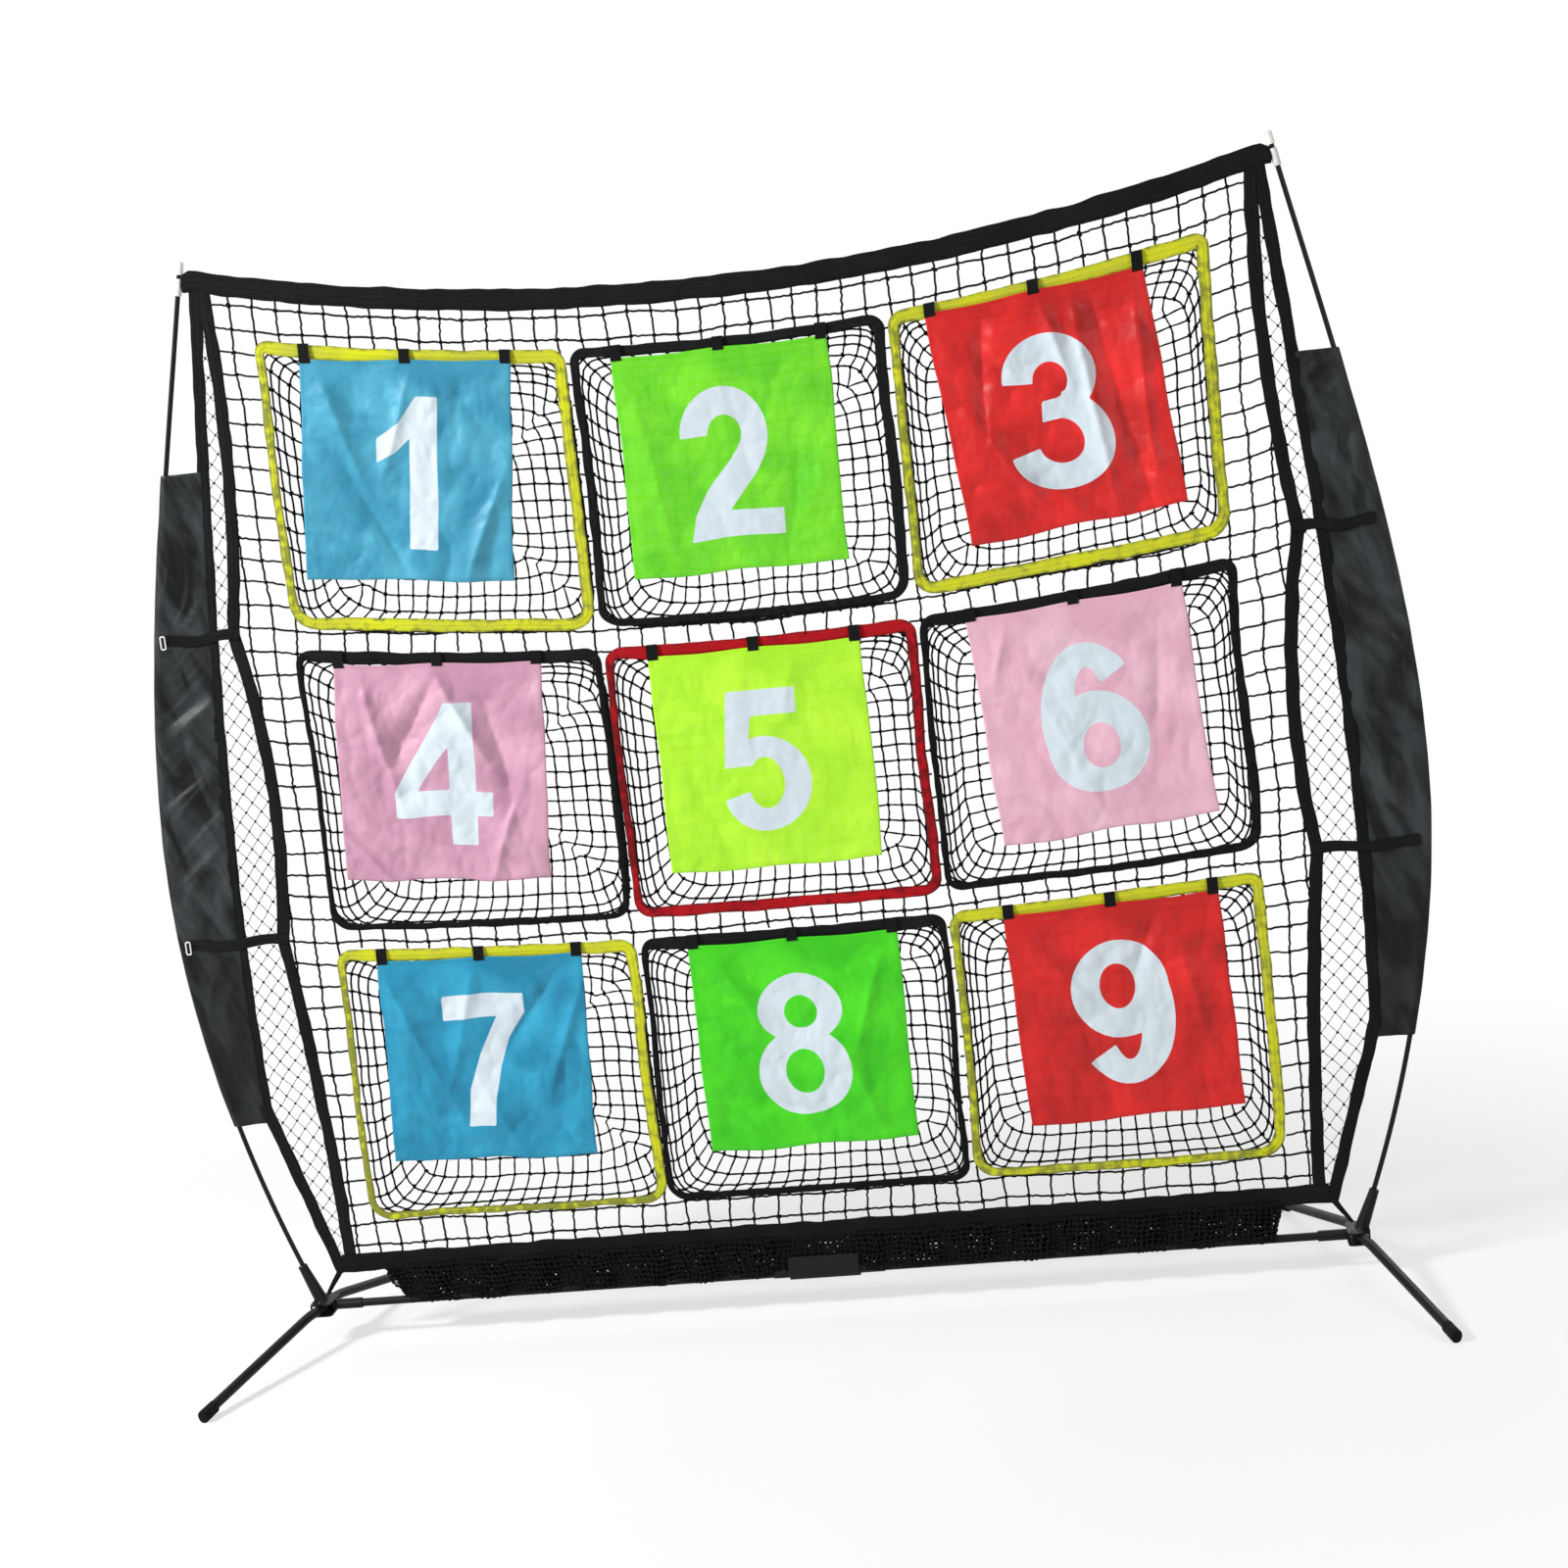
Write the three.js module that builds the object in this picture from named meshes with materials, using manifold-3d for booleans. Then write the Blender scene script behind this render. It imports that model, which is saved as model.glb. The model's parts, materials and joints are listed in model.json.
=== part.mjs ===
// A pitching target net: nine bound pockets, each behind a numbered flag, in a net that two bowed
// poles hold taut over a base bar with four folding legs.
// Millimetres, +Z up, the thrower stands on the -Y side, and the origin is on the floor midway
// between the hubs, in the plane of the net.
import * as THREE from "three";
import { mergeVertices } from "three/addons/utils/BufferGeometryUtils.js";
import Module from "manifold-3d";

const wasm = await Module();
wasm.setup();

// ---- Fits ----
const touch = 0.3; // between two pieces that lie against each other
const poleFit = 0.5; // round a pole in its ferrule, cap or socket
const sleeveFit = 1.6; // round a ferrule in the cloth channel
const pivotFit = 0.3; // round a rivet's shank

// ---- The pockets, which set the size of the net ----
const pocketWidth = 600;
const pocketHeight = 565;
const columnGap = 7;
const rowGap = 42;
const pocketCorner = 60;
const ringWidth = 28;

// ---- The cloth round them ----
const bottomEdge = 140; // lower edge of the bottom band
const bottomBandHeight = 38;
const topBandHeight = 41;
const bottomStrip = 67; // net between the bottom band and the lowest rings
const topStrip = 79; // net between the top band and the highest rings
const sideStrip = 63; // net between the outer rings and the side webbing
const topSag = 128; // how far the top edge hangs at its middle
const clothThickness = 3;
const seamWidth = 4; // of net hidden behind a ring's inner edge
const webbingWidth = 28;
const hemWidth = 15;
const strapWidth = 20;
const tetherWidth = 13;
const skirtInset = 95; // from the side webbing's inner edge to the skirt's end
const skirtFolds = 16;
const skirtFullness = 4.5;

// ---- Flags ----
const flagWidth = 410;
const flagHeight = 424;
const flagThickness = 1.6;
const flagDrop = 24; // from a ring's outer top edge to its flag's top edge
const flagFollow = 0.8; // share of its ring's slope that a flag takes on
const flagStandoff = 9; // from the net's plane to the flag's middle
const flagRipple = 2.6;
const tabWidth = 20;

// ---- Pouches behind the rings ----
const pouchDepth = 230;
const pouchStraight = 150;
const pouchSag = 30;

// ---- Nets ----
const cordWidth = 3;
const squarePitch = 64; // coarser than the real 45 mm mesh
const diamondPitch = 98; // corner to corner of a side net's cell
const leastGap = 24;

// ---- Poles ----
const poleRadius = 4.75;
const poleSides = 8; // facets round a pole
const poleLean = 22; // degrees outwards at the foot
const tipLean = 12; // degrees inwards at the tip
const bowReach = 189; // how far the bow stands outside its hub
const bowHeight = 965;
const tipInset = 1.5;
const tipRise = 12; // above the top band's corner
const ferruleWall = 1;
const ferruleLength = 60;
const capWall = 2;
const capLength = 24;
const channelWall = 1.5;
const sleeveTopDrop = 385; // from the net's top corner to the sleeve's upper end
const sleeveFootRise = 320; // from the bottom edge to the sleeve's lower end

// ---- Base ----
const hubReach = 60; // from the side webbing's inner edge to the hub
const barHeight = 75;
const barRadius = 8;
const barWall = 1.2;
const couplerWall = 1.5;
const couplerLength = 220;
const wrapWall = 2;
const wrapSpan = [-78, 61];
const wrapTop = 126; // of the flap that stands up in front of the skirt
const buttonRadius = 2.8;
const buttonInset = 15; // from the coupler's end
const buttonTravel = 4.2; // pushes the head clear of the coupler's wall
const legRadius = 9.5;
const legWall = 1.2;
const legLength = 429;
const legTurn = 18; // degrees: front legs splay out, rear legs run in
const legEndHeight = 14.5;
const legBend = [28, 44]; // from the rivet to the bend's start and corner
const legPast = 10; // of the leg's end inside its rivet
const pivotOffset = 24; // of each leg's rivet from the bar
const pivotRadius = 3;
const plateThickness = 3;
const plateInner = 24; // reach of the hub's plates towards the bar
const plateOuter = 19; // and away from it
const plateAcross = 38; // and to the front and back
const plateCorner = 9;
const lugWidth = 4;
const lugThickness = 3;
const socketLength = 78;
const socketRadii = [13, 8];
const barSleeveLength = 55;
const barSleeveWall = 2.2;
const footRadius = 12.5;
const footLength = 42;

// ---- Worked out from those ----
const topRow = bottomEdge + bottomBandHeight + bottomStrip + 3 * pocketHeight + 2 * rowGap;
const topEdge = topRow + topStrip + topBandHeight;
const bandUnderside = topEdge - topBandHeight;
const netFoot = bottomEdge + bottomBandHeight;
const edgeX = 1.5 * pocketWidth + columnGap + sideStrip; // the side webbing's inner edge
const hubX = edgeX + hubReach;
const columnPitch = pocketWidth + columnGap;
const rowPitch = pocketHeight + rowGap;
const ferruleRadius = poleRadius + poleFit + ferruleWall;
const channelBore = ferruleRadius + sleeveFit;
const couplerBore = barRadius + touch;
const couplerRadius = couplerBore + couplerWall;
const wrapRadius = couplerRadius + touch + wrapWall;
const buttonX = couplerLength / 2 - buttonInset;
const plateGap = legRadius + touch;
const plateTop = barHeight + plateGap + plateThickness;
const plateFoot = barHeight - plateGap - plateThickness;

// The cloth lies in layers: trims in front, nets behind them, and the pouches' flange at the back.
const trimLayer = [-touch - clothThickness, -touch];
const netLayer = [touch, touch + clothThickness];
const flangeLayer = [netLayer[1] + touch, netLayer[1] + touch + clothThickness];
const strapLayer = [trimLayer[0] - touch - clothThickness, trimLayer[0] - touch];

const blackCloth = 0x17181a;
const yellow = 0xe4e020;
const black = 0x151618;
const pockets = [
  { number: 1, cloth: 0x4db3d2, binding: yellow, shift: -8 },
  { number: 2, cloth: 0x7be02a, binding: black, shift: -15 },
  { number: 3, cloth: 0xdf2f2f, binding: yellow, shift: -27 },
  { number: 4, cloth: 0xdda0c0, binding: black, shift: -21 },
  { number: 5, cloth: 0xb4f73a, binding: 0xb01018, shift: -12 },
  { number: 6, cloth: 0xe9b3cc, binding: black, shift: -8 },
  { number: 7, cloth: 0x2e9fc9, binding: yellow, shift: -13 },
  { number: 8, cloth: 0x3fd61f, binding: black, shift: 0 },
  { number: 9, cloth: 0xd62424, binding: yellow, shift: 8 },
].map((pocket, index) => ({
  ...pocket,
  middle: ((index % 3) - 1) * columnPitch,
  top: topRow - Math.floor(index / 3) * rowPitch,
}));

// ---- Geometry helpers ----

function degrees(angle) {
  return (angle * Math.PI) / 180;
}

// A closed mesh from points and triangles, turned so that its faces look outwards.
function closedMesh(points, triangles) {
  const volume = triangles.reduce((sum, [a, b, c]) => {
    const normal = new THREE.Vector3().crossVectors(points[b], points[c]);
    return sum + points[a].dot(normal);
  }, 0);
  const order = volume < 0 ? triangles.map(([a, b, c]) => [a, c, b]) : triangles;
  const geometry = new THREE.BufferGeometry().setFromPoints(points);
  geometry.setIndex(order.flat());
  return geometry;
}

// Side walls through rings of as many points each, and a fan over each end.
function loft(rings) {
  const sides = rings[0].length;
  const points = rings.flat();
  const triangles = [];
  for (let ring = 0; ring < rings.length - 1; ring++) {
    for (let side = 0; side < sides; side++) {
      const a = ring * sides + side;
      const b = ring * sides + ((side + 1) % sides);
      triangles.push([a, b, b + sides], [a, b + sides, a + sides]);
    }
  }
  const ends = [rings[0], rings[rings.length - 1]];
  ends.forEach((ring, end) => {
    const start = end * (rings.length - 1) * sides;
    const middle = points.length;
    const centre = new THREE.Vector3();
    ring.forEach((point) => centre.addScaledVector(point, 1 / sides));
    points.push(centre);
    for (let side = 0; side < sides; side++) {
      const a = start + side;
      const b = start + ((side + 1) % sides);
      triangles.push(end ? [middle, a, b] : [middle, b, a]);
    }
  });
  return closedMesh(points, triangles);
}

// A sheet with a thickness: place(s, t, side) gives a point, with s and t from 0 to 1.
function thickSheet(columns, rows, place) {
  const points = [];
  for (const side of [-1, 1]) {
    for (let row = 0; row <= rows; row++) {
      for (let column = 0; column <= columns; column++) {
        points.push(place(column / columns, row / rows, side));
      }
    }
  }
  const triangles = [];
  const quad = (a, b, c, d) => triangles.push([a, b, c], [a, c, d]);
  const front = (column, row) => row * (columns + 1) + column;
  const back = (column, row) => front(column, row) + (columns + 1) * (rows + 1);
  for (let row = 0; row < rows; row++) {
    for (let column = 0; column < columns; column++) {
      const right = column + 1;
      const below = row + 1;
      quad(front(column, row), front(column, below), front(right, below), front(right, row));
      quad(back(column, row), back(right, row), back(right, below), back(column, below));
    }
    quad(front(0, row + 1), front(0, row), back(0, row), back(0, row + 1));
    quad(front(columns, row), front(columns, row + 1), back(columns, row + 1), back(columns, row));
  }
  for (let column = 0; column < columns; column++) {
    const right = column + 1;
    quad(front(column, 0), front(right, 0), back(right, 0), back(column, 0));
    quad(front(right, rows), front(column, rows), back(column, rows), back(right, rows));
  }
  return closedMesh(points, triangles);
}

// A flat piece of cloth or plate that stands upright: outlines are [x, z] points.
function uprightPlate(outline, layer, holes = []) {
  const toPoints = (loop) => loop.map(([x, z]) => new THREE.Vector2(x, z));
  const shape = new THREE.Shape(toPoints(outline));
  shape.holes = holes.map((hole) => new THREE.Path(toPoints(hole)));
  const depth = layer[1] - layer[0];
  const geometry = new THREE.ExtrudeGeometry(shape, { depth, bevelEnabled: false });
  return geometry.rotateX(Math.PI / 2).translate(0, layer[1], 0);
}

function circle(radius, sides) {
  return Array.from({ length: sides }, (_, side) => {
    const angle = (2 * Math.PI * (side + 0.5)) / sides;
    return new THREE.Vector2(radius * Math.cos(angle), radius * Math.sin(angle));
  });
}

// The radius of a faceted bore whose flats still clear a round of this radius.
function fitted(radius, sides) {
  return radius / Math.cos(Math.PI / sides);
}

// A round bar along a curve.
function sweep(curve, radius, steps, sides = 10) {
  const shape = new THREE.Shape(circle(radius, sides));
  return new THREE.ExtrudeGeometry(shape, { extrudePath: curve, steps, bevelEnabled: false });
}

// A straight tube along +X from x = start to x = end.
function pipe(radius, bore, start, end, sides = 12) {
  const shape = new THREE.Shape(circle(radius, sides));
  if (bore) shape.holes = [new THREE.Path(circle(bore, sides))];
  const geometry = new THREE.ExtrudeGeometry(shape, { depth: end - start, bevelEnabled: false });
  return geometry.rotateY(Math.PI / 2).translate(start, 0, 0);
}

function box(low, high) {
  const size = high.map((value, axis) => value - low[axis]);
  const middle = high.map((value, axis) => (value + low[axis]) / 2);
  return new THREE.BoxGeometry(...size).translate(...middle);
}

// A solid of revolution about Z, from [radius, z] points that start and end on the axis.
function turned(profile, sides = 12) {
  const points = profile.map(([radius, z]) => new THREE.Vector2(radius, z));
  return new THREE.LatheGeometry(points, sides).rotateX(Math.PI / 2);
}

function solidOf(geometry) {
  const bare = geometry.clone();
  bare.deleteAttribute("normal");
  bare.deleteAttribute("uv");
  const merged = mergeVertices(bare, 1e-4);
  const triVerts = new Uint32Array(merged.index.array);
  const vertProperties = merged.attributes.position.array;
  const solid = new wasm.Manifold(new wasm.Mesh({ numProp: 3, vertProperties, triVerts }));
  return solid;
}

function geometryOf(solid) {
  const mesh = solid.getMesh();
  const geometry = new THREE.BufferGeometry();
  geometry.setAttribute("position", new THREE.BufferAttribute(mesh.vertProperties, 3));
  geometry.setIndex(new THREE.BufferAttribute(mesh.triVerts, 1));
  return geometry;
}

function joined(...geometries) {
  return geometryOf(geometries.map(solidOf).reduce((sum, solid) => sum.add(solid)));
}

function without(geometry, ...tools) {
  return geometryOf(tools.map(solidOf).reduce((left, tool) => left.subtract(tool), solidOf(geometry)));
}

// An upright plate with many openings cut through it.
function pierced(outline, layer, openings) {
  const past = [layer[0] - 1, layer[1] + 1];
  const punches = openings.map((opening) => solidOf(uprightPlate(opening, past)));
  const plate = solidOf(uprightPlate(outline, layer));
  return geometryOf(plate.subtract(wasm.Manifold.union(punches)));
}

// The same piece for the other side of the net.
function mirrored(geometry) {
  const source = geometry.index ? geometry.toNonIndexed() : geometry;
  const position = source.attributes.position;
  const points = [];
  const triangles = [];
  for (let i = 0; i < position.count; i++) {
    points.push(new THREE.Vector3(-position.getX(i), position.getY(i), position.getZ(i)));
    if (i % 3 === 2) triangles.push([i - 2, i, i - 1]);
  }
  return closedMesh(points, triangles);
}

// Part of a curve, from one share of its length to another.
class Stretch extends THREE.Curve {
  constructor(curve, from, to) {
    super();
    Object.assign(this, { curve, from, to });
  }
  getPoint(t, target = new THREE.Vector3()) {
    return target.copy(this.curve.getPointAt(this.from + (this.to - this.from) * t));
  }
}

// ---- The net's own plane ----

// The net is laid out flat as (u, v), and hangs from its corners: its top edge sags most.
function drape(u, v) {
  const share = (v - bottomEdge) / (topEdge - bottomEdge);
  return [u, v - topSag * share * (1 - (u / hubX) ** 2)];
}

function drapeSlope(u, v) {
  const share = (v - bottomEdge) / (topEdge - bottomEdge);
  return (topSag * share * 2 * u) / hubX ** 2;
}

// A rectangle with round corners, as draped [x, z] points.
function roundedOutline(low, high, radius, cornerSteps, edgeSteps) {
  const centres = [
    [high[0] - radius, high[1] - radius, 0],
    [low[0] + radius, high[1] - radius, 90],
    [low[0] + radius, low[1] + radius, 180],
    [high[0] - radius, low[1] + radius, 270],
  ];
  const loop = [];
  centres.forEach(([u, v, start], corner) => {
    for (let step = 0; step <= cornerSteps; step++) {
      const angle = degrees(start + (90 * step) / cornerSteps);
      loop.push([u + radius * Math.cos(angle), v + radius * Math.sin(angle)]);
    }
    if (corner % 2) return;
    const from = loop[loop.length - 1];
    const across = high[0] - low[0] - 2 * radius;
    for (let step = 1; step < edgeSteps; step++) {
      const run = (across * step) / edgeSteps;
      loop.push([from[0] + (corner ? run : -run), from[1]]);
    }
  });
  return loop.map(([u, v]) => drape(u, v));
}

function pocketOutline(pocket, inset, cornerSteps = 3, edgeSteps = 3) {
  const half = pocketWidth / 2 - inset;
  return roundedOutline(
    [pocket.middle - half, pocket.top - pocketHeight + inset],
    [pocket.middle + half, pocket.top - inset],
    Math.max(pocketCorner - inset, 8),
    cornerSteps,
    edgeSteps,
  );
}

// ---- Curves of the right-hand side; the left is their mirror image ----

const strapHeights = [1, 2].map((row) => topRow - row * rowPitch + rowGap / 2);

// The side webbing hangs in arcs that bow inwards between its corners and the two straps.
const webbingAnchors = [
  [edgeX + 12, bandUnderside],
  [edgeX + 54, strapHeights[0]],
  [edgeX + 40, strapHeights[1]],
  [edgeX - 8, netFoot],
];
const webbingBows = [18, 28, 8];

function webbingMiddle() {
  const points = [];
  webbingBows.forEach((bow, arc) => {
    const [from, to] = [webbingAnchors[arc], webbingAnchors[arc + 1]];
    for (let step = arc ? 1 : 0; step <= 7; step++) {
      const t = step / 7;
      const x = from[0] + (to[0] - from[0]) * t - bow * 4 * t * (1 - t);
      points.push([x, from[1] + (to[1] - from[1]) * t]);
    }
  });
  return points;
}

// The hem runs in a long bow from the top corner, then straight down to the bottom corner.
function hemOutside() {
  const bow = new THREE.CubicBezierCurve(
    new THREE.Vector2(edgeX + 45, bandUnderside),
    new THREE.Vector2(edgeX + 80, bandUnderside - 404),
    new THREE.Vector2(edgeX + 155, bandUnderside - 1004),
    new THREE.Vector2(edgeX + 131, bottomEdge + 352),
  );
  const points = bow.getPoints(14).map(({ x, y }) => [x, y]);
  return [...points, [edgeX + 20, bottomEdge]];
}

const webbing = webbingMiddle();
const hem = hemOutside();

// Where a line of [x, z] points, listed downwards, stands at a height.
function xAt(line, z) {
  const below = line.findIndex((point) => point[1] <= z);
  if (below <= 0) return line[below < 0 ? line.length - 1 : 0][0];
  const [high, low] = [line[below - 1], line[below]];
  return high[0] + ((low[0] - high[0]) * (z - high[1])) / (low[1] - high[1]);
}

function shifted(line, distance) {
  return line.map(([x, z]) => [x + distance, z]);
}

function between(line, low, high) {
  const inside = line.filter(([, z]) => z < high && z > low);
  return [[xAt(line, high), high], ...inside, [xAt(line, low), low]];
}

// The height just under the sagging top band.
function underBand(x) {
  return drape(x, bandUnderside)[1] - touch;
}

// ---- The bowed pole's line ----

const poleFoot = [hubX + 6, plateTop + 1];
const poleTip = [hubX - tipInset, topEdge + tipRise];
const bowPoint = [hubX + bowReach, bowHeight];
const lowerPull = (bowHeight - poleFoot[1]) / 3;
const upperPull = (poleTip[1] - bowHeight) / 3;

function poleLine() {
  const at = (x, z) => new THREE.Vector3(x, 0, z);
  const [foot, bow, tip] = [poleFoot, bowPoint, poleTip];
  const [lean, nod] = [degrees(poleLean), degrees(tipLean)];
  const path = new THREE.CurvePath();
  path.add(
    new THREE.CubicBezierCurve3(
      at(...foot),
      at(foot[0] + lowerPull * Math.sin(lean), foot[1] + lowerPull * Math.cos(lean)),
      at(bow[0], bow[1] - lowerPull),
      at(...bow),
    ),
  );
  path.add(
    new THREE.CubicBezierCurve3(
      at(...bow),
      at(bow[0], bow[1] + upperPull),
      at(tip[0] + upperPull * Math.sin(nod), tip[1] - upperPull * Math.cos(nod)),
      at(...tip),
    ),
  );
  return path;
}

const pole = poleLine();
const poleLength = pole.getLength();

// The share of the pole's length at which it passes a height.
function shareAt(height) {
  let [low, high] = [0, 1];
  for (let step = 0; step < 30; step++) {
    const middle = (low + high) / 2;
    if (pole.getPointAt(middle).z < height) low = middle;
    else high = middle;
  }
  return low;
}

function poleStretch(from, to) {
  return new Stretch(pole, from, to);
}

const poleSide = pole.getSpacedPoints(40).map(({ x, z }) => [x, z]).reverse();

// ---- Pieces of the frame ----

// One of a pole's three sections; all but the topmost end in a glued ferrule.
function poleSection(index) {
  const share = (length) => length / poleLength;
  const from = index / 3 + (index ? share(touch) : 0);
  const to = (index + 1) / 3;
  const rod = sweep(poleStretch(from, to), poleRadius, 10, poleSides);
  if (index === 2) return rod;
  const reach = share(ferruleLength / 2);
  const shell = sweep(poleStretch(to - reach, to + reach), ferruleRadius, 2, poleSides);
  const bore = sweep(poleStretch(to, to + 1.2 * reach), poleRadius + poleFit, 1, poleSides);
  return without(joined(rod, shell), bore);
}

// The moulded cap that closes a pole's tip.
function tipCap() {
  const bore = poleRadius + poleFit;
  const radius = bore + capWall;
  const mouth = -capLength + capWall;
  const profile = [
    [0, touch],
    [bore, touch],
    [bore, mouth],
    [radius, mouth],
    [radius, 0],
    [radius - capWall, capWall + touch],
    [0, capWall + 2 * touch],
  ];
  const cap = turned(profile, 12);
  const tip = pole.getPointAt(1);
  return cap.rotateY(-degrees(tipLean)).translate(tip.x, 0, tip.z);
}

// The steel hub: two plates that take the legs' ends between them, a sleeve for the bar and a
// tapered socket for the pole.
function hub() {
  const plate = new THREE.Shape();
  const [inner, outer, across, corner] = [-plateInner, plateOuter, plateAcross, plateCorner];
  plate.absarc(outer - corner, across - corner, corner, 0, Math.PI / 2);
  plate.absarc(inner + corner, across - corner, corner, Math.PI / 2, Math.PI);
  plate.absarc(inner + corner, corner - across, corner, Math.PI, 1.5 * Math.PI);
  plate.absarc(outer - corner, corner - across, corner, 1.5 * Math.PI, 2 * Math.PI);
  plate.holes = [-1, 1].map((side) => {
    const hole = circle(pivotRadius + pivotFit, 8).map((point) => point.setY(point.y + side * pivotOffset));
    return new THREE.Path(hole);
  });
  const extrusion = { depth: plateThickness, bevelEnabled: false, curveSegments: 2 };
  const lower = new THREE.ExtrudeGeometry(plate, extrusion).translate(0, 0, plateFoot);
  const upper = new THREE.ExtrudeGeometry(plate, extrusion).translate(0, 0, barHeight + plateGap);
  const [webFoot, webTop] = [plateFoot + 1, plateTop - 1];
  const web = box([inner, -11, webFoot], [inner + 4, 11, webTop]);
  // Bent lugs stop the legs where they stand open.
  const legSide = legRadius / Math.cos(degrees(legTurn)) + touch;
  const lugs = [-1, 1].map((side) => {
    const reach = across - pivotOffset - (side > 0 ? lugWidth : 0);
    const face = legSide - side * reach * Math.tan(degrees(legTurn));
    const [near, far] = [across - lugWidth, across].map((distance) => side * distance);
    return box([face, Math.min(near, far), webFoot], [face + lugThickness, Math.max(near, far), webTop]);
  });
  const barSleeve = pipe(couplerBore + barSleeveWall, 0, inner - barSleeveLength, inner + 3);
  barSleeve.translate(0, 0, barHeight);
  const barBore = pipe(couplerBore, 0, inner - barSleeveLength - 5, inner + 8);
  barBore.translate(0, 0, barHeight);
  const steel = joined(lower, upper, web, ...lugs, barSleeve).translate(hubX, 0, 0);
  const poleBore = sweep(poleStretch(0, (socketLength + 20) / poleLength), poleRadius + poleFit, 2, poleSides);
  return without(joined(steel, poleSocket()), barBore.translate(hubX, 0, 0), poleBore);
}

// The socket tapers from the plate to its mouth, and leans with the pole.
function poleSocket() {
  const lean = degrees(poleLean);
  const along = new THREE.Vector3(Math.sin(lean), 0, Math.cos(lean));
  const across = new THREE.Vector3(Math.cos(lean), 0, -Math.sin(lean));
  const ring = (distance, radius, level) =>
    circle(radius, 12).map(({ x, y }) => {
      const side = level ? new THREE.Vector3(1, 0, 0) : across;
      const point = new THREE.Vector3(poleFoot[0], 0, poleFoot[1]).addScaledVector(along, distance);
      return point.addScaledVector(side, x).setY(y);
    });
  const [foot, mouth] = socketRadii;
  return loft([
    ring(-2.2, foot + 1.5, true),
    ring(6, foot, false),
    ring(socketLength - 8, mouth + 1.5, false),
    ring(socketLength - 2, mouth + 1.5, false),
    ring(socketLength, mouth, false),
  ]);
}

function rivet(side) {
  const [shank, head, dome] = [pivotRadius, 2 * pivotRadius, 2.4];
  const [foot, top] = [plateFoot - touch, plateTop + touch];
  const profile = [
    [0, foot - dome],
    [head * 0.6, foot - dome],
    [head, foot],
    [shank, foot],
    [shank, top],
    [head, top],
    [head * 0.6, top + dome],
    [0, top + dome],
  ];
  return turned(profile, 8).translate(hubX, side * pivotOffset, 0);
}

// A leg's middle line: level between the plates, then down to the floor. side is -1 in front.
function legLine(side) {
  const turn = degrees(legTurn);
  const way = new THREE.Vector3(-side * Math.sin(turn), side * Math.cos(turn), 0);
  const pivot = new THREE.Vector3(hubX, side * pivotOffset, barHeight);
  const at = (distance, height) => pivot.clone().addScaledVector(way, distance).setZ(height);
  const [level, bend] = legBend;
  const reach = legLength - pivotOffset;
  const fall = (barHeight - legEndHeight) / (reach - bend);
  const path = new THREE.CurvePath();
  const afterBend = at(bend + 16, barHeight - 16 * fall);
  path.add(new THREE.LineCurve3(at(-legPast, barHeight), at(level, barHeight)));
  path.add(new THREE.QuadraticBezierCurve3(at(level, barHeight), at(bend, barHeight), afterBend));
  path.add(new THREE.LineCurve3(afterBend, at(reach, legEndHeight)));
  return { path, pivot, way, fall, end: at(reach, legEndHeight) };
}

// A bent steel tube with the rivet's hole through its inner end.
function leg(side) {
  const { path, pivot } = legLine(side);
  const stops = [0, 0.09, 0.135, 1].map((share) => path.getPointAt(share));
  const [first, last] = [stops[0], stops[stops.length - 1]];
  const bent = legSkin(stops, legRadius);
  const before = first.clone().addScaledVector(stops[1].clone().sub(first).normalize(), -2);
  const past = last.clone().addScaledVector(last.clone().sub(stops[2]).normalize(), 2);
  const hollow = legSkin([before, ...stops.slice(1, -1), past], legRadius - legWall);
  const hole = turned(
    [
      [0, -20],
      [pivotRadius + pivotFit, -20],
      [pivotRadius + pivotFit, 20],
      [0, 20],
    ],
    10,
  ).translate(pivot.x, pivot.y, barHeight);
  return without(bent, hollow, hole);
}

// A round skin through the corners of a bent line, with its rings square to the line.
function legSkin(stops, radius) {
  const rings = stops.map((stop, index) => {
    const before = stops[Math.max(index - 1, 0)];
    const after = stops[Math.min(index + 1, stops.length - 1)];
    const along = after.clone().sub(before).normalize();
    const across = new THREE.Vector3(0, 0, 1).cross(along).normalize();
    const up = along.clone().cross(across);
    return circle(radius, 8).map(({ x, y }) =>
      stop.clone().addScaledVector(across, x).addScaledVector(up, y),
    );
  });
  return loft(rings);
}

// The rubber foot: a sleeve over the leg's end with a flat pad under it.
function foot(side) {
  const { way, fall, end } = legLine(side);
  const along = way.clone().setZ(-fall).normalize();
  const across = new THREE.Vector3(0, 0, 1).cross(along).normalize();
  const up = along.clone().cross(across);
  const ring = (distance, radius) =>
    circle(radius, 10).map(({ x, y }) =>
      end.clone().addScaledVector(along, distance).addScaledVector(across, x).addScaledVector(up, y),
    );
  const start = 8 - footLength;
  const sleeve = loft([
    ring(start, footRadius - 1),
    ring(start + 3, footRadius),
    ring(6, footRadius),
    ring(8, footRadius - 2),
  ]);
  const pad = [
    [-30, -9],
    [4, -9],
    [7, -6],
    [7, 6],
    [4, 9],
    [-30, 9],
  ].map(([run, half]) => new THREE.Vector2(run, half));
  const sole = new THREE.ExtrudeGeometry(new THREE.Shape(pad), { depth: 10, bevelEnabled: false });
  sole.rotateZ(Math.atan2(way.y, way.x)).translate(end.x, end.y, 0);
  const boreRadius = fitted(legRadius + touch, 10);
  const bore = loft([ring(start - 5, boreRadius), ring(touch, boreRadius)]);
  const ground = box([end.x - 200, end.y - 200, -60], [end.x + 200, end.y + 200, 0]);
  return without(joined(sleeve, sole), bore, ground);
}

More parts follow.
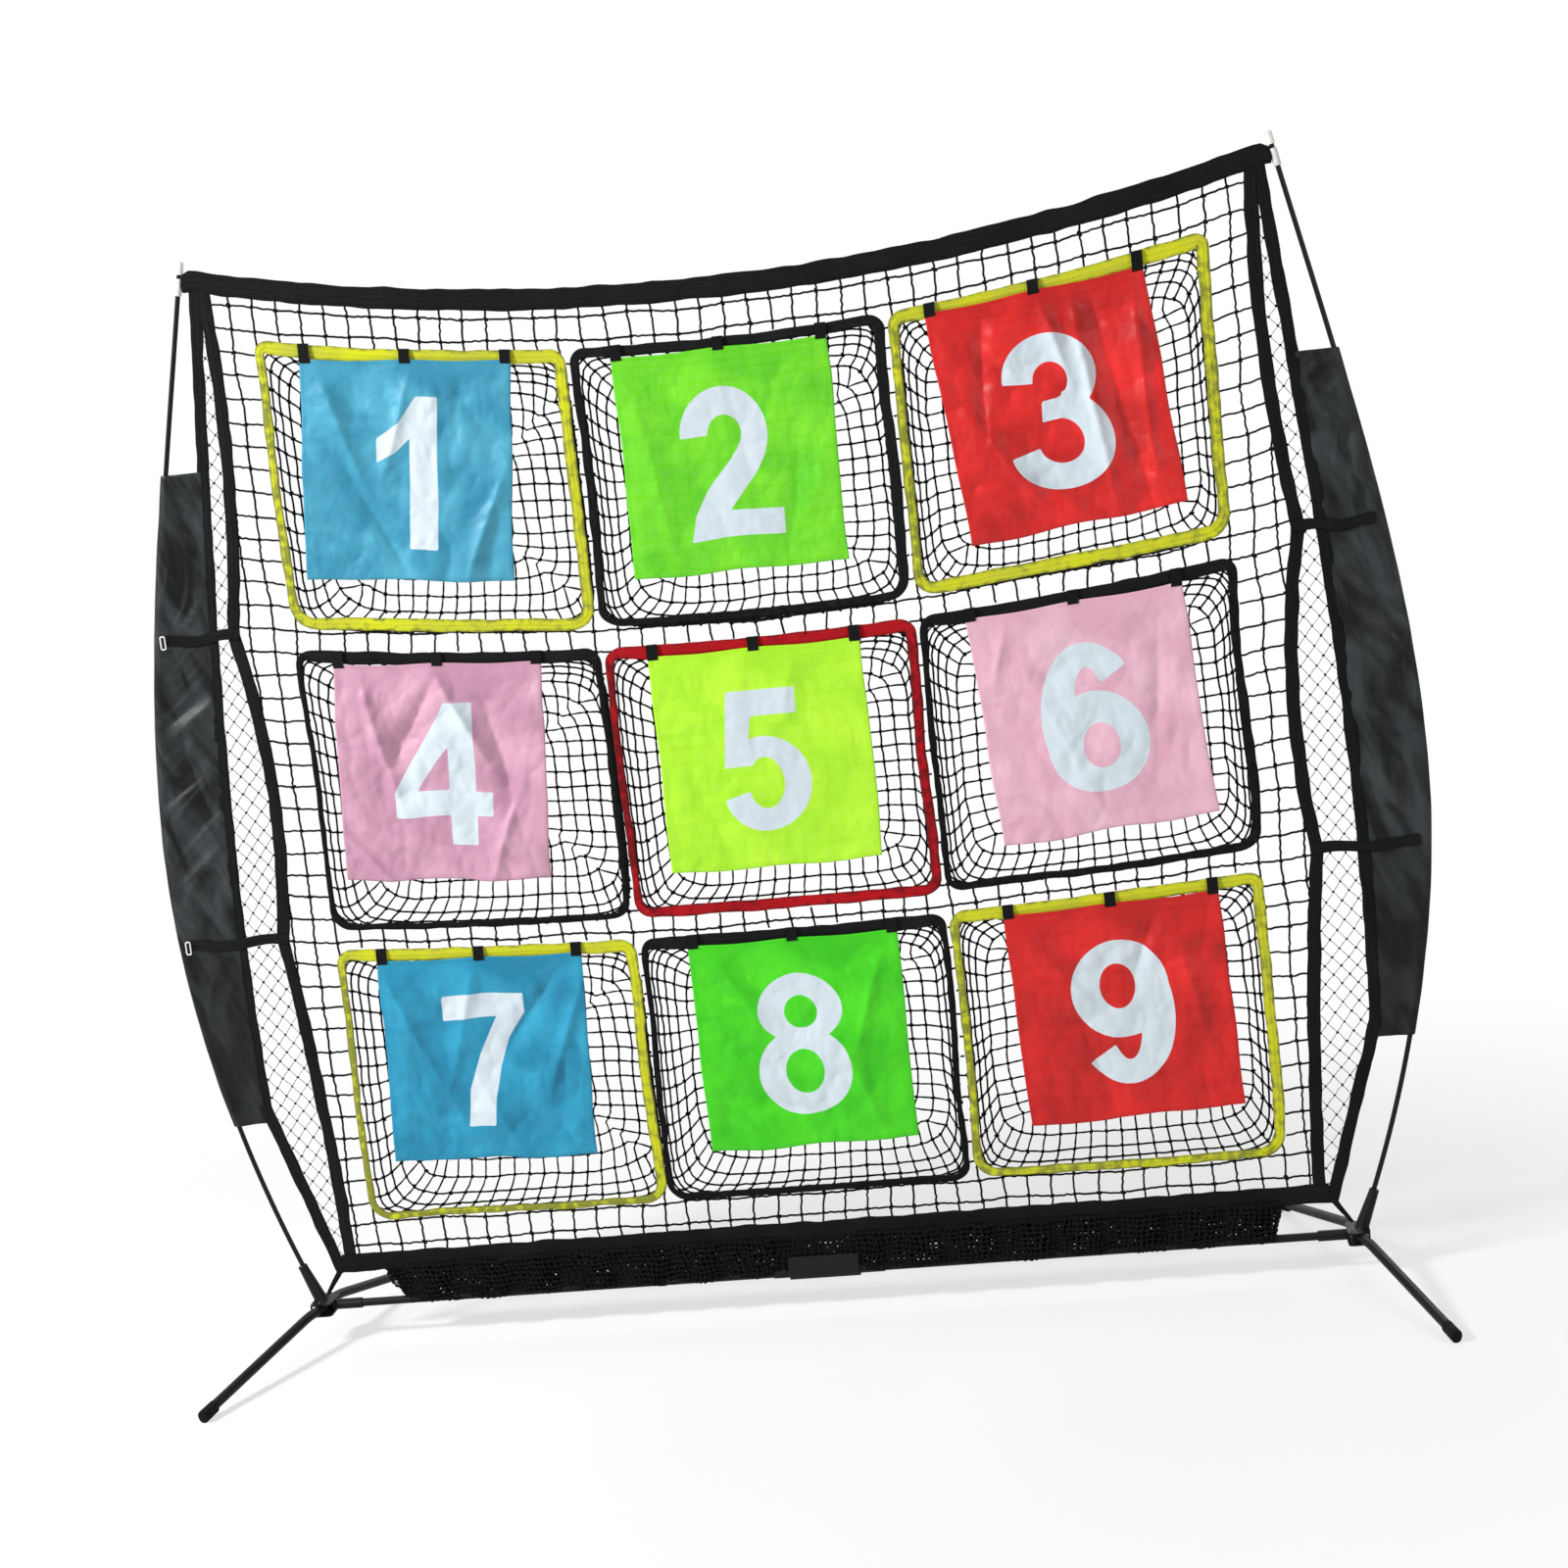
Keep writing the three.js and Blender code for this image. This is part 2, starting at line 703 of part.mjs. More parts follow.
function baseBar() {
  const tube = pipe(barRadius, barRadius - barWall, touch / 2 + 1, hubX - plateInner + 5);
  tube.translate(0, 0, barHeight);
  return without(tube, buttonHole(buttonX));
}

function buttonHole(x) {
  const radius = buttonRadius + pivotFit;
  const profile = [
    [0, 0],
    [radius, 0],
    [radius, 20],
    [0, 20],
  ];
  return turned(profile, 10).rotateX(-Math.PI / 2).translate(x, 0, barHeight);
}

function coupler() {
  const tube = pipe(couplerRadius, couplerBore, -couplerLength / 2, couplerLength / 2, 14);
  tube.translate(0, 0, barHeight);
  return without(tube, buttonHole(buttonX), buttonHole(-buttonX));
}

// A snap button: a round head through both tubes' walls, on a flange that the bar's wall keeps in.
function snapButton() {
  const bore = (barRadius - barWall) * Math.cos(Math.PI / 12);
  const rim = buttonRadius + 1.2;
  const flange = Math.sqrt(bore ** 2 - rim ** 2) - touch;
  const head = couplerBore + buttonTravel;
  const profile = [
    [0, flange - 1.5],
    [rim, flange - 1.5],
    [rim, flange],
    [buttonRadius, flange],
    [buttonRadius, head - 1],
    [buttonRadius * 0.6, head - 0.2],
    [0, head],
  ];
  return turned(profile, 10).rotateX(-Math.PI / 2).translate(buttonX, 0, barHeight);
}

// ---- Pieces of cloth and net ----

// The top band, with a loop at each corner that slips over the pole under its cap.
function topBand() {
  const reach = poleStretch(1 - 62 / poleLength, 1 - (capLength + 6) / poleLength);
  const footEnd = reach.getPoint(0.5).x - poleRadius - 1;
  const topEnd = poleTip[0] - poleRadius - poleFit - capWall - 6;
  const steps = 16;
  const edge = (end, v) =>
    Array.from({ length: steps + 1 }, (_, step) => drape(end * ((2 * step) / steps - 1), v));
  const outline = [...edge(footEnd, bandUnderside), ...edge(topEnd, topEdge).reverse()];
  const band = uprightPlate(outline, trimLayer);
  const loop = sweep(reach, poleRadius + poleFit + 2.5, 1);
  const bore = sweep(poleStretch(1 - 90 / poleLength, 1), poleRadius + poleFit, 2);
  return without(joined(band, loop, mirrored(loop)), bore, mirrored(bore));
}

function bottomBand() {
  const foot = xAt(hem, bottomEdge) - hemWidth - touch;
  const top = xAt(hem, netFoot) - hemWidth - touch;
  const outline = [
    [-foot, bottomEdge],
    [foot, bottomEdge],
    [top, netFoot],
    [-top, netFoot],
  ];
  return uprightPlate(outline, trimLayer);
}

// The side webbing, with the two straps that run out over the sleeve to the pole.
function sideWebbing() {
  const half = webbingWidth / 2;
  const line = between(webbing, netFoot + touch, underBand(webbing[0][0] - half));
  const outline = [...shifted(line, half), ...shifted(line, -half).reverse()];
  const strip = uprightPlate(outline, trimLayer);
  const straps = strapHeights.map((height) => {
    const start = xAt(webbing, height) - half + 4;
    const end = xAt(poleSide, height) - channelBore - channelWall - 3;
    const [low, high] = [height - strapWidth / 2, height + strapWidth / 2];
    return box([start, strapLayer[0], low], [end, strapLayer[1], high]);
  });
  const stitches = strapHeights.map((height) => {
    const middle = xAt(webbing, height);
    const side = strapWidth / 2;
    return box(
      [middle - side + 2, strapLayer[1] - 1, height - side],
      [middle + side - 2, trimLayer[0] + 1, height + side],
    );
  });
  return joined(strip, ...straps, ...stitches);
}

// The hem and, outside it, the cloth sleeve that the pole runs through; a tether ties it down.
function poleSleeve() {
  const [low, high] = [bottomEdge + sleeveFootRise, topEdge - sleeveTopDrop];
  const reach = channelBore + channelWall / 2;
  const top = underBand(hem[0][0] - hemWidth);
  const above = between(hem, high, top);
  const beside = shifted(between(poleSide, low, high), -reach);
  const below = between(hem, bottomEdge, low);
  const inside = shifted(between(hem, bottomEdge, top), -hemWidth);
  const cloth = uprightPlate([...above, ...beside, ...below, ...inside.reverse()], trimLayer);
  const run = [shareAt(low), shareAt(high)];
  const channel = sweep(poleStretch(...run), channelBore + channelWall, 10, poleSides);
  const bore = sweep(poleStretch(run[0] - 0.01, run[1] + 0.01), channelBore, 10, poleSides);
  return without(joined(cloth, channel, tether()), bore);
}

// The short strap from the net's bottom corner to the root of the pole's socket.
function tether() {
  const from = [xAt(hem, bottomEdge) - hemWidth / 2, bottomEdge + 10];
  const to = [poleFoot[0] - socketRadii[0] - 4, plateTop + 11];
  const run = Math.hypot(to[0] - from[0], to[1] - from[1]);
  const across = [(-(to[1] - from[1]) / run) * tetherWidth, ((to[0] - from[0]) / run) * tetherWidth];
  const outline = [
    [from[0] - across[0] / 2, from[1] - across[1] / 2],
    [to[0] - across[0] / 2, to[1] - across[1] / 2],
    [to[0] + across[0] / 2, to[1] + across[1] / 2],
    [from[0] + across[0] / 2, from[1] + across[1] / 2],
  ];
  return uprightPlate(outline, trimLayer);
}

// A cell of the net, cut back to what lies beside a pocket's ring.
function besideRing(cell, pocket) {
  const half = pocketWidth / 2;
  const ring = {
    left: pocket.middle - half,
    right: pocket.middle + half,
    foot: pocket.top - pocketHeight,
    top: pocket.top,
  };
  const apart =
    cell.left >= ring.right || cell.right <= ring.left || cell.foot >= ring.top || cell.top <= ring.foot;
  if (apart) return cell;
  const parts = [
    { ...cell, right: ring.left },
    { ...cell, left: ring.right },
    { ...cell, top: ring.foot },
    { ...cell, foot: ring.top },
  ];
  const area = (part) => Math.max(part.right - part.left, 0) * Math.max(part.top - part.foot, 0);
  return parts.reduce((best, part) => (area(part) > area(best) ? part : best));
}

// The square gaps between the cords of the target net, as draped outlines.
function squareGaps() {
  const gaps = [];
  const inset = webbingWidth / 2 + 2;
  const side = (v) => xAt(webbing, v) - inset;
  const columns = Math.ceil(edgeX / squarePitch);
  const rows = Math.ceil((bandUnderside - netFoot) / squarePitch);
  for (let column = -columns; column < columns; column++) {
    for (let row = 0; row < rows; row++) {
      const left = column * squarePitch + cordWidth / 2;
      const foot = netFoot + row * squarePitch + cordWidth;
      let cell = { left, right: left + squarePitch - cordWidth, foot, top: foot + squarePitch - cordWidth };
      cell.top = Math.min(cell.top, bandUnderside - 2);
      const limit = Math.min(side(cell.foot), side(cell.top));
      cell.left = Math.max(cell.left, -limit);
      cell.right = Math.min(cell.right, limit);
      for (const pocket of pockets) cell = besideRing(cell, pocket);
      if (cell.right - cell.left < leastGap || cell.top - cell.foot < leastGap) continue;
      gaps.push([
        drape(cell.left, cell.foot),
        drape(cell.right, cell.foot),
        drape(cell.right, cell.top),
        drape(cell.left, cell.top),
      ]);
    }
  }
  return gaps;
}

// The target net: square mesh, with a whole opening behind each ring.
function targetNet() {
  const seam = between(webbing, netFoot, bandUnderside);
  const right = shifted(seam, -touch);
  const left = right.map(([x, z]) => [-x, z]).reverse();
  const [topCorner, footCorner] = [right[0][0], right[right.length - 1][0]];
  const steps = 24;
  const top = [];
  for (let step = 1; step < steps; step++) {
    top.push(drape(topCorner * ((2 * step) / steps - 1), topEdge - 4));
  }
  const outline = [
    ...left,
    [-topCorner, topEdge - 4],
    ...top,
    [topCorner, topEdge - 4],
    ...right,
    [footCorner, bottomEdge + 4],
    [-footCorner, bottomEdge + 4],
  ];
  const openings = pockets.map((pocket) => pocketOutline(pocket, ringWidth - seamWidth, 2, 2));
  return pierced(outline, netLayer, [...openings, ...squareGaps()]);
}

// What is left of a convex outline on the inner side of a line.
function clipped(outline, point, normal) {
  const depth = ([x, z]) => (x - point[0]) * normal[0] + (z - point[1]) * normal[1];
  const kept = [];
  outline.forEach((from, index) => {
    const to = outline[(index + 1) % outline.length];
    const [a, b] = [depth(from), depth(to)];
    if (a >= 0) kept.push(from);
    if (a * b < 0) kept.push([from[0] + ((to[0] - from[0]) * a) / (a - b), from[1] + ((to[1] - from[1]) * a) / (a - b)]);
  });
  return kept;
}

function areaOf(outline) {
  const last = outline.length - 1;
  return Math.abs(
    outline.reduce((sum, [x, z], index) => {
      const [px, pz] = outline[index ? index - 1 : last];
      return sum + (px * z - x * pz) / 2;
    }, 0),
  );
}

// The diamond gaps of the side net, between the side webbing and the hem.
function diamondGaps() {
  const gaps = [];
  const half = diamondPitch / 2 - cordWidth * Math.SQRT1_2;
  const [low, high] = [netFoot + 50, bandUnderside - 90];
  const inner = (z) => xAt(webbing, z) + webbingWidth / 2 + 2;
  const outer = (z) => xAt(hem, z) - hemWidth - 2;
  for (let row = 0; low + (row * diamondPitch) / 2 < high; row++) {
    const z = low + (row * diamondPitch) / 2;
    for (let column = 0; column < 5; column++) {
      const x = edgeX + (column + (row % 2) / 2) * diamondPitch;
      let gap = [
        [x - half, z],
        [x, z - half],
        [x + half, z],
        [x, z + half],
      ];
      const whole = areaOf(gap);
      const rise = (line) => line(z + half) - line(z - half);
      gap = clipped(gap, [inner(z) + 1.5, z], [2 * half, -rise(inner)]);
      if (gap.length) gap = clipped(gap, [outer(z) - 1.5, z], [-2 * half, rise(outer)]);
      if (gap.length > 2 && areaOf(gap) > 0.22 * whole) gaps.push(gap);
    }
  }
  return gaps;
}

function sideNet() {
  const inner = shifted(between(webbing, netFoot + touch, bandUnderside - touch), touch);
  const outer = shifted(between(hem, netFoot + touch, bandUnderside - touch), -2);
  return pierced([...outer, ...inner.reverse()], netLayer, diamondGaps());
}

// Gathered net between the bottom band and the bar.
function netSkirt() {
  const half = edgeX - skirtInset;
  const [foot, top] = [barHeight + wrapRadius + touch, bottomEdge - touch];
  return thickSheet(skirtFolds * 4, 1, (s, t, side) => {
    const wave = skirtFullness * Math.sin(2 * Math.PI * skirtFolds * s) * (0.4 + 0.6 * t);
    return new THREE.Vector3(half * (2 * s - 1), wave + side, top + (foot - top) * t);
  });
}

// The patch that closes round the bar's middle and keeps the skirt down on it.
function barWrap() {
  const [start, end] = wrapSpan;
  const radius = couplerRadius + touch;
  const shell = pipe(wrapRadius, 0, start, end, 14);
  const front = skirtFullness + clothThickness;
  const flap = box([start, -front - wrapWall, 0], [end, -front, wrapTop - barHeight]);
  const bore = pipe(radius, 0, start - 5, end + 5, 14);
  return without(joined(shell, flap), bore).translate(0, 0, barHeight);
}

// The bound edge of a pocket's mouth, with the three tabs that hold its flag.
function pocketRing(pocket) {
  const ring = uprightPlate(pocketOutline(pocket, 0), trimLayer, [pocketOutline(pocket, ringWidth)]);
  const { pivot, turn } = flagHinge(pocket);
  const tabs = [-1, 0, 1].map((place) => {
    const run = (place * (flagWidth - tabWidth)) / 2;
    const u = pivot.x + run * Math.cos(turn);
    const foot = flagThickness * Math.SQRT1_2 + touch;
    const rise = drape(u, pocket.top)[1] - (pivot.z + run * Math.sin(turn)) + 1;
    const tab = box([run - tabWidth / 2, -flagStandoff - 1.4, foot], [run + tabWidth / 2, -touch - 1, rise]);
    return tab.rotateY(-turn).translate(pivot.x, 0, pivot.z);
  });
  return joined(ring, ...tabs);
}

// A flag swings about its top edge, which nearly follows the slope of its ring.
function flagHinge(pocket) {
  const u = pocket.middle + pocket.shift;
  const v = pocket.top - flagDrop;
  const [x, z] = drape(u, v);
  return { pivot: new THREE.Vector3(x, -flagStandoff, z), turn: Math.atan(flagFollow * drapeSlope(u, v)) };
}

function numberFlag(pocket) {
  const { pivot, turn } = flagHinge(pocket);
  const phase = pocket.number * 1.7;
  const flag = thickSheet(5, 3, (s, t, side) => {
    const ripple = flagRipple * t * Math.sin(2 * Math.PI * 1.3 * s + phase + t);
    const drop = t * flagHeight - flagThickness / 2;
    return new THREE.Vector3(flagWidth * (s - 0.5), ripple + (side * flagThickness) / 2, -drop);
  });
  return flag.rotateY(-turn).translate(pivot.x, pivot.y, pivot.z);
}

// A row of catch pouches on one flange: each opens behind its ring and sags at the bottom.
function pouchRow(row) {
  const [, middle, last] = row;
  const reach = last.middle + pocketWidth / 2 - 4;
  const outline = roundedOutline(
    [-reach, middle.top - pocketHeight + 4],
    [reach, middle.top - 4],
    pocketCorner,
    2,
    10,
  );
  const flange = uprightPlate(outline, flangeLayer);
  const shells = row.map((pocket) => pouchForm(pocket, -clothThickness, flangeLayer[1] - 1, pouchDepth));
  const hollows = row.map((pocket) => pouchForm(pocket, 0, flangeLayer[0] - 2, pouchDepth - clothThickness));
  return without(joined(flange, ...shells), ...hollows);
}

function pouchForm(pocket, inset, front, back) {
  const stations = [
    { y: front, narrow: 0, drop: 0, sag: 0, corner: 20 },
    { y: pouchStraight, narrow: 4, drop: 10, sag: pouchSag, corner: 24 },
    { y: back - 25, narrow: 28, drop: 58, sag: pouchSag - 14, corner: 70 },
    { y: back, narrow: 120, drop: 150, sag: -60, corner: 60 },
  ];
  const mouth = ringWidth + inset;
  const half = pocketWidth / 2 - mouth;
  const rings = stations.map(({ y, narrow, drop, sag, corner }) => {
    const low = [pocket.middle - half + narrow, pocket.top - pocketHeight + mouth - sag];
    const high = [pocket.middle + half - narrow, pocket.top - mouth - drop];
    const loop = roundedOutline(low, high, corner, 1, 2);
    return loop.map(([x, z]) => new THREE.Vector3(x, y, z));
  });
  return loft(rings);
}

// ---- The assembly ----

function material(color, roughness, metalness = 0) {
  return new THREE.MeshStandardMaterial({ color, roughness, metalness, side: THREE.DoubleSide });
}

const finishes = {
  steel: material(0x1b1c1e, 0.45, 0.6),
  plated: material(0x8e9195, 0.35, 0.9),
  fibreglass: material(0x121315, 0.4),
  cap: material(0xe6e6e2, 0.5),
  rubber: material(0x141414, 0.85),
  cloth: material(blackCloth, 0.7),
  webbing: material(black, 0.8),
  net: material(0x202124, 0.85),
  patch: material(0x3a3b3e, 0.75),
};

const net = new THREE.Group();

function add(parent, name, geometry, finish) {
  const mesh = new THREE.Mesh(geometry, finish);
  mesh.name = name;
  parent.add(mesh);
  return mesh;
}

// A piece for the right-hand side and its mirror image for the left.
function addPair(parent, name, geometry, finish) {
  add(parent, name + "_right", geometry, finish);
  add(parent, name + "_left", mirrored(geometry), finish);
}

const base = new THREE.Group();
addPair(base, "base_bar", baseBar(), finishes.steel);
add(base, "bar_coupler", coupler(), finishes.steel);
addPair(base, "snap_button", snapButton(), finishes.plated);
addPair(base, "hub", hub(), finishes.steel);
for (const [name, side] of [["front", -1], ["rear", 1]]) {
  addPair(base, "leg_" + name, leg(side), finishes.steel);
  addPair(base, "foot_" + name, foot(side), finishes.rubber);
  addPair(base, "leg_rivet_" + name, rivet(side), finishes.plated);
}
net.add(base);

const bows = new THREE.Group();
["lower", "middle", "upper"].forEach((name, index) => {
  addPair(bows, "pole_" + name, poleSection(index), finishes.fibreglass);
});
addPair(bows, "pole_tip_cap", tipCap(), finishes.cap);
net.add(bows);

const cloth = new THREE.Group();
add(cloth, "target_net", targetNet(), finishes.net);
addPair(cloth, "side_net", sideNet(), finishes.net);
add(cloth, "top_band", topBand(), finishes.webbing);
add(cloth, "bottom_band", bottomBand(), finishes.webbing);
addPair(cloth, "side_webbing", sideWebbing(), finishes.webbing);
addPair(cloth, "pole_sleeve", poleSleeve(), finishes.cloth);
add(cloth, "net_skirt", netSkirt(), finishes.net);
add(cloth, "bar_wrap", barWrap(), finishes.patch);
["top", "middle", "bottom"].forEach((name, row) => {
  add(cloth, "catch_pouches_" + name, pouchRow(pockets.slice(3 * row, 3 * row + 3)), finishes.net);
});
for (const pocket of pockets) {
  add(cloth, "pocket_ring_" + pocket.number, pocketRing(pocket), material(pocket.binding, 0.7));
  add(cloth, "number_flag_" + pocket.number, numberFlag(pocket), material(pocket.cloth, 0.5));
}
net.add(cloth);

export default net;
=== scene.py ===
# %% [markdown]
# # A pitching target net in Blender
# The frame holds the rigid pieces at their real size. This lesson gives the object its looks: cords
# tied into nets, nylon flags, bound pockets, creased sleeves and painted steel. Everything is in
# metres, +X runs along the base bar, the thrower stands on the -Y side and +Z is up.

# %% Load the frame
import json
import math
import random
from functools import partial

import bmesh
import bpy
import numpy as np
from mathutils import Matrix, Vector, noise


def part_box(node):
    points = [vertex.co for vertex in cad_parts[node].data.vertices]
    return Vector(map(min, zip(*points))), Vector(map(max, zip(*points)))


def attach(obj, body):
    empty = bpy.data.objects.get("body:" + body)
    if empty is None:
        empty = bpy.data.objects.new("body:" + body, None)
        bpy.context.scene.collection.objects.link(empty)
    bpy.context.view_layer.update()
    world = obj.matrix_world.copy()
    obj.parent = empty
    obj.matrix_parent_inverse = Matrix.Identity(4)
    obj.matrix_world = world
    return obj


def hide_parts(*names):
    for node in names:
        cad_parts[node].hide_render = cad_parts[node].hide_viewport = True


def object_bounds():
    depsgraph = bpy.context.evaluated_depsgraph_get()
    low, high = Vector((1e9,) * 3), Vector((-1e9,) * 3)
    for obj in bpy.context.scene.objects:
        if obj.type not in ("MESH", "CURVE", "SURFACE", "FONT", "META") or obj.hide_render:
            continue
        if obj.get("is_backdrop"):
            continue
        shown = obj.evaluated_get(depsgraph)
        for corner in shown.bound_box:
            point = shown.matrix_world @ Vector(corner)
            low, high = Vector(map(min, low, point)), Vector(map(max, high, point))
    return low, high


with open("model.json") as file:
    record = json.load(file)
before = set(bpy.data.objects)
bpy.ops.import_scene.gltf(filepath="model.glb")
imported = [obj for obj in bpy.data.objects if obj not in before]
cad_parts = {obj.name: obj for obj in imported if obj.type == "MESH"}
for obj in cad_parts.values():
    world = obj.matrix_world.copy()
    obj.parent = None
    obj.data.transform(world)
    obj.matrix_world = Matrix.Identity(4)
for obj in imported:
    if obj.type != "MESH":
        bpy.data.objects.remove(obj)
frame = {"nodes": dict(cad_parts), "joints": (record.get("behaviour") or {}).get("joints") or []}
cad_box = [list(corner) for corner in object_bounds()]
noise.seed_set(7)  # without a seed, vector noise starts from the clock and differs in each run

# %% [markdown]
# ## Camera
# The picture was taken from the right of the net at about eye height, with the camera rolled a
# little. Its place was fitted to the flags' corners, the hubs and the pole tips. A camera looks
# along its own -Z, so its matrix is built from the right, up and back directions.

# %% Camera
EYE = Vector((0.6917, -5.1684, 1.8076))
AZIMUTH, TILT, ROLL = 0.1298, 0.1448, -0.1110

forward = Vector((-math.sin(AZIMUTH) * math.cos(TILT), math.cos(AZIMUTH) * math.cos(TILT),
                  -math.sin(TILT)))
level = Vector((math.cos(AZIMUTH), math.sin(AZIMUTH), 0))
upward = level.cross(forward)
right = math.cos(ROLL) * level + math.sin(ROLL) * upward
up = math.cos(ROLL) * upward - math.sin(ROLL) * level

lens = bpy.data.cameras.new("camera")
lens.sensor_width = 36
lens.lens = 63
camera = bpy.data.objects.new("camera", lens)
camera.matrix_world = Matrix.Translation(EYE) @ Matrix((right, up, -forward)).transposed().to_4x4()
bpy.context.scene.collection.objects.link(camera)
bpy.context.scene.camera = camera
print("camera at", [round(x, 2) for x in EYE])

# %% [markdown]
# ## Nodes and colours
# Every material is made with one helper that adds a node, sets its fields and links its inputs.
# Colours are written as sRGB hex values, the way a paint chart gives them, and turned to the linear
# numbers that the shader works in.


# %% Helpers for materials
def linear(hexadecimal):
    channels = [int(hexadecimal[i : i + 2], 16) / 255 for i in (1, 3, 5)]
    bent = [c / 12.92 if c <= 0.04045 else ((c + 0.055) / 1.055) ** 2.4 for c in channels]
    return (*bent, 1)


def add_node(tree, kind, inputs=None, **settings):
    """Adds a node. An input is a number, a hex colour, a socket, or a node for its first output."""
    node = tree.nodes.new("ShaderNode" + kind)
    for name, value in settings.items():
        setattr(node, name, value)
    for name, value in (inputs or {}).items():
        value = value.outputs[0] if isinstance(value, bpy.types.Node) else value
        if isinstance(value, bpy.types.NodeSocket):
            tree.links.new(value, node.inputs[name])
        else:
            node.inputs[name].default_value = linear(value) if isinstance(value, str) else value
    return node


def new_material(name):
    """A material, the function that adds its nodes, and its Object and UV coordinates."""
    material = bpy.data.materials.new(name)
    material.use_nodes = True
    material.node_tree.nodes.clear()
    add = partial(add_node, material.node_tree)
    place = add("TexCoord").outputs
    return material, add, place["Object"], place["UV"]


# %% [markdown]
# ## Floor, light and background
# The floor is a plain pale disc that catches the shadow and fades into the white background, so no
# horizon shows. The world lights the object softly and looks white to the camera. The key light
# comes from the upper left, almost along the net, because grazing light is what shows creases in
# thin cloth. A weak fill on the right keeps the shadows open.


# %% Floor
def floor_material():
    material, add, place, flat = new_material("pale studio floor")
    far = add("VectorMath", {0: place}, operation="LENGTH").outputs["Value"]
    fade = add("MapRange", {"Value": far, "From Min": 0.9, "From Max": 2.8, "To Min": 0.6, "To Max": 1},
               interpolation_type="SMOOTHSTEP")
    seen = add("LightPath").outputs["Is Camera Ray"]
    whiten = add("Math", {0: fade, 1: seen}, operation="MULTIPLY")
    paper = add("BsdfDiffuse", {"Color": "#F7F7F6"})
    glow = add("Emission", {"Color": "#FFFFFF", "Strength": 1})
    add("OutputMaterial", {"Surface": add("MixShader", {0: whiten, 1: paper, 2: glow})})
    return material


disc = bmesh.new()
bmesh.ops.create_circle(disc, cap_ends=True, segments=96, radius=40)
floor_mesh = bpy.data.meshes.new("floor")
disc.to_mesh(floor_mesh)
disc.free()
floor_mesh.materials.append(floor_material())
floor = bpy.data.objects.new("floor", floor_mesh)
bpy.context.scene.collection.objects.link(floor)
floor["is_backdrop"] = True


# %% Lights
def area_light(name, spot, aim, size, power):
    """A round lamp that points at a height on the object's middle axis."""
    data = bpy.data.lights.new(name, "AREA")
    data.shape = "DISK"
    data.size = size
    data.energy = power
    lamp = bpy.data.objects.new(name, data)
    lamp.location = spot
    lamp.rotation_euler = (Vector((0, 0, aim)) - Vector(spot)).to_track_quat("-Z", "Y").to_euler()
    bpy.context.scene.collection.objects.link(lamp)


area_light("key", (-4.4, -2.6, 4.3), aim=1.1, size=1.2, power=380)
area_light("fill", (4.2, -4.0, 2.4), aim=1.0, size=3.0, power=60)
area_light("rim", (0.8, 4.2, 3.8), aim=1.2, size=2.6, power=60)

world = bpy.data.worlds.new("white studio")
world.use_nodes = True
bpy.context.scene.world = world
world.node_tree.nodes.clear()
add = partial(add_node, world.node_tree)
ray = add("LightPath").outputs
either = add("Math", {0: ray["Is Camera Ray"], 1: ray["Is Glossy Ray"]}, operation="MAXIMUM")
soft = add("Background", {"Color": "#FFFFFF", "Strength": 0.32})
white = add("Background", {"Color": "#FFFFFF", "Strength": 1})
add("OutputWorld", {"Surface": add("MixShader", {0: either, 1: soft, 2: white})})
bpy.context.scene.view_settings.view_transform = "Standard"
print("lit by", len(bpy.data.lights), "area lights")

# %% [markdown]
# ## The net's own plane
# The net is cut flat and hangs from its corners, so its top edge sags most. Every piece sewn to it
# is laid out flat as (u, v) first, and hung by one formula, the one that the frame follows.

# %% Sizes of the net
NUMBERS = range(1, 10)
POCKET = (0.600, 0.565)
POCKET_PITCH = 0.607
TOP_ROW = 2.024
RING_CORNER = 0.034
RING_TAPE = dict(zip(NUMBERS, "yellow black yellow black red black yellow black yellow".split()))
BOTTOM_EDGE, NET_FOOT = 0.140, 0.178
BAND_UNDERSIDE, TOP_EDGE = 2.103, 2.144
HUB_X = 1.030
SAG = 0.128
TRIM_Y = -0.0020  # the middle of the trims, sewn to the net's front
SIDES = ((1, "right"), (-1, "left"))


def hung(u, v):
    share = (v - BOTTOM_EDGE) / (TOP_EDGE - BOTTOM_EDGE)
    return v - SAG * share * (1 - (u / HUB_X) ** 2)


def pocket_middle(number):
    column, row = (number - 1) % 3, (number - 1) // 3
    return (column - 1) * POCKET_PITCH, TOP_ROW - row * POCKET_PITCH - POCKET[1] / 2


for number in (1, 9):
    low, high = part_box(f"pocket_ring_{number}")
    u, half = pocket_middle(number)[0], POCKET[0] / 2
    print(f"ring {number}: frame {low.x:.3f} to {high.x:.3f}, here {u - half:.3f} to {u + half:.3f}")


# %% Curves of the sides
def bezier(points, steps):
    a, b, c, d = (np.array(p, float) for p in points)
    t = np.linspace(0, 1, steps + 1)[:, None]
    return (1 - t) ** 3 * a + 3 * (1 - t) ** 2 * t * b + 3 * (1 - t) * t**2 * c + t**3 * d


def x_at(line, z):
    order = np.argsort(line[:, 1])
    return float(np.interp(z, line[order, 1], line[order, 0]))


HEM_LINE = np.vstack([
    bezier([(1.015, 2.103), (1.050, 1.699), (1.125, 1.099), (1.101, 0.492)], 20),
    [(0.990, 0.140)],
])
STRAP_HEIGHTS = [1.438, 0.831]
CHANNEL_RADIUS = 0.0088  # of the sleeve's channel, round the pole
POLE_FOOT = 0.0888


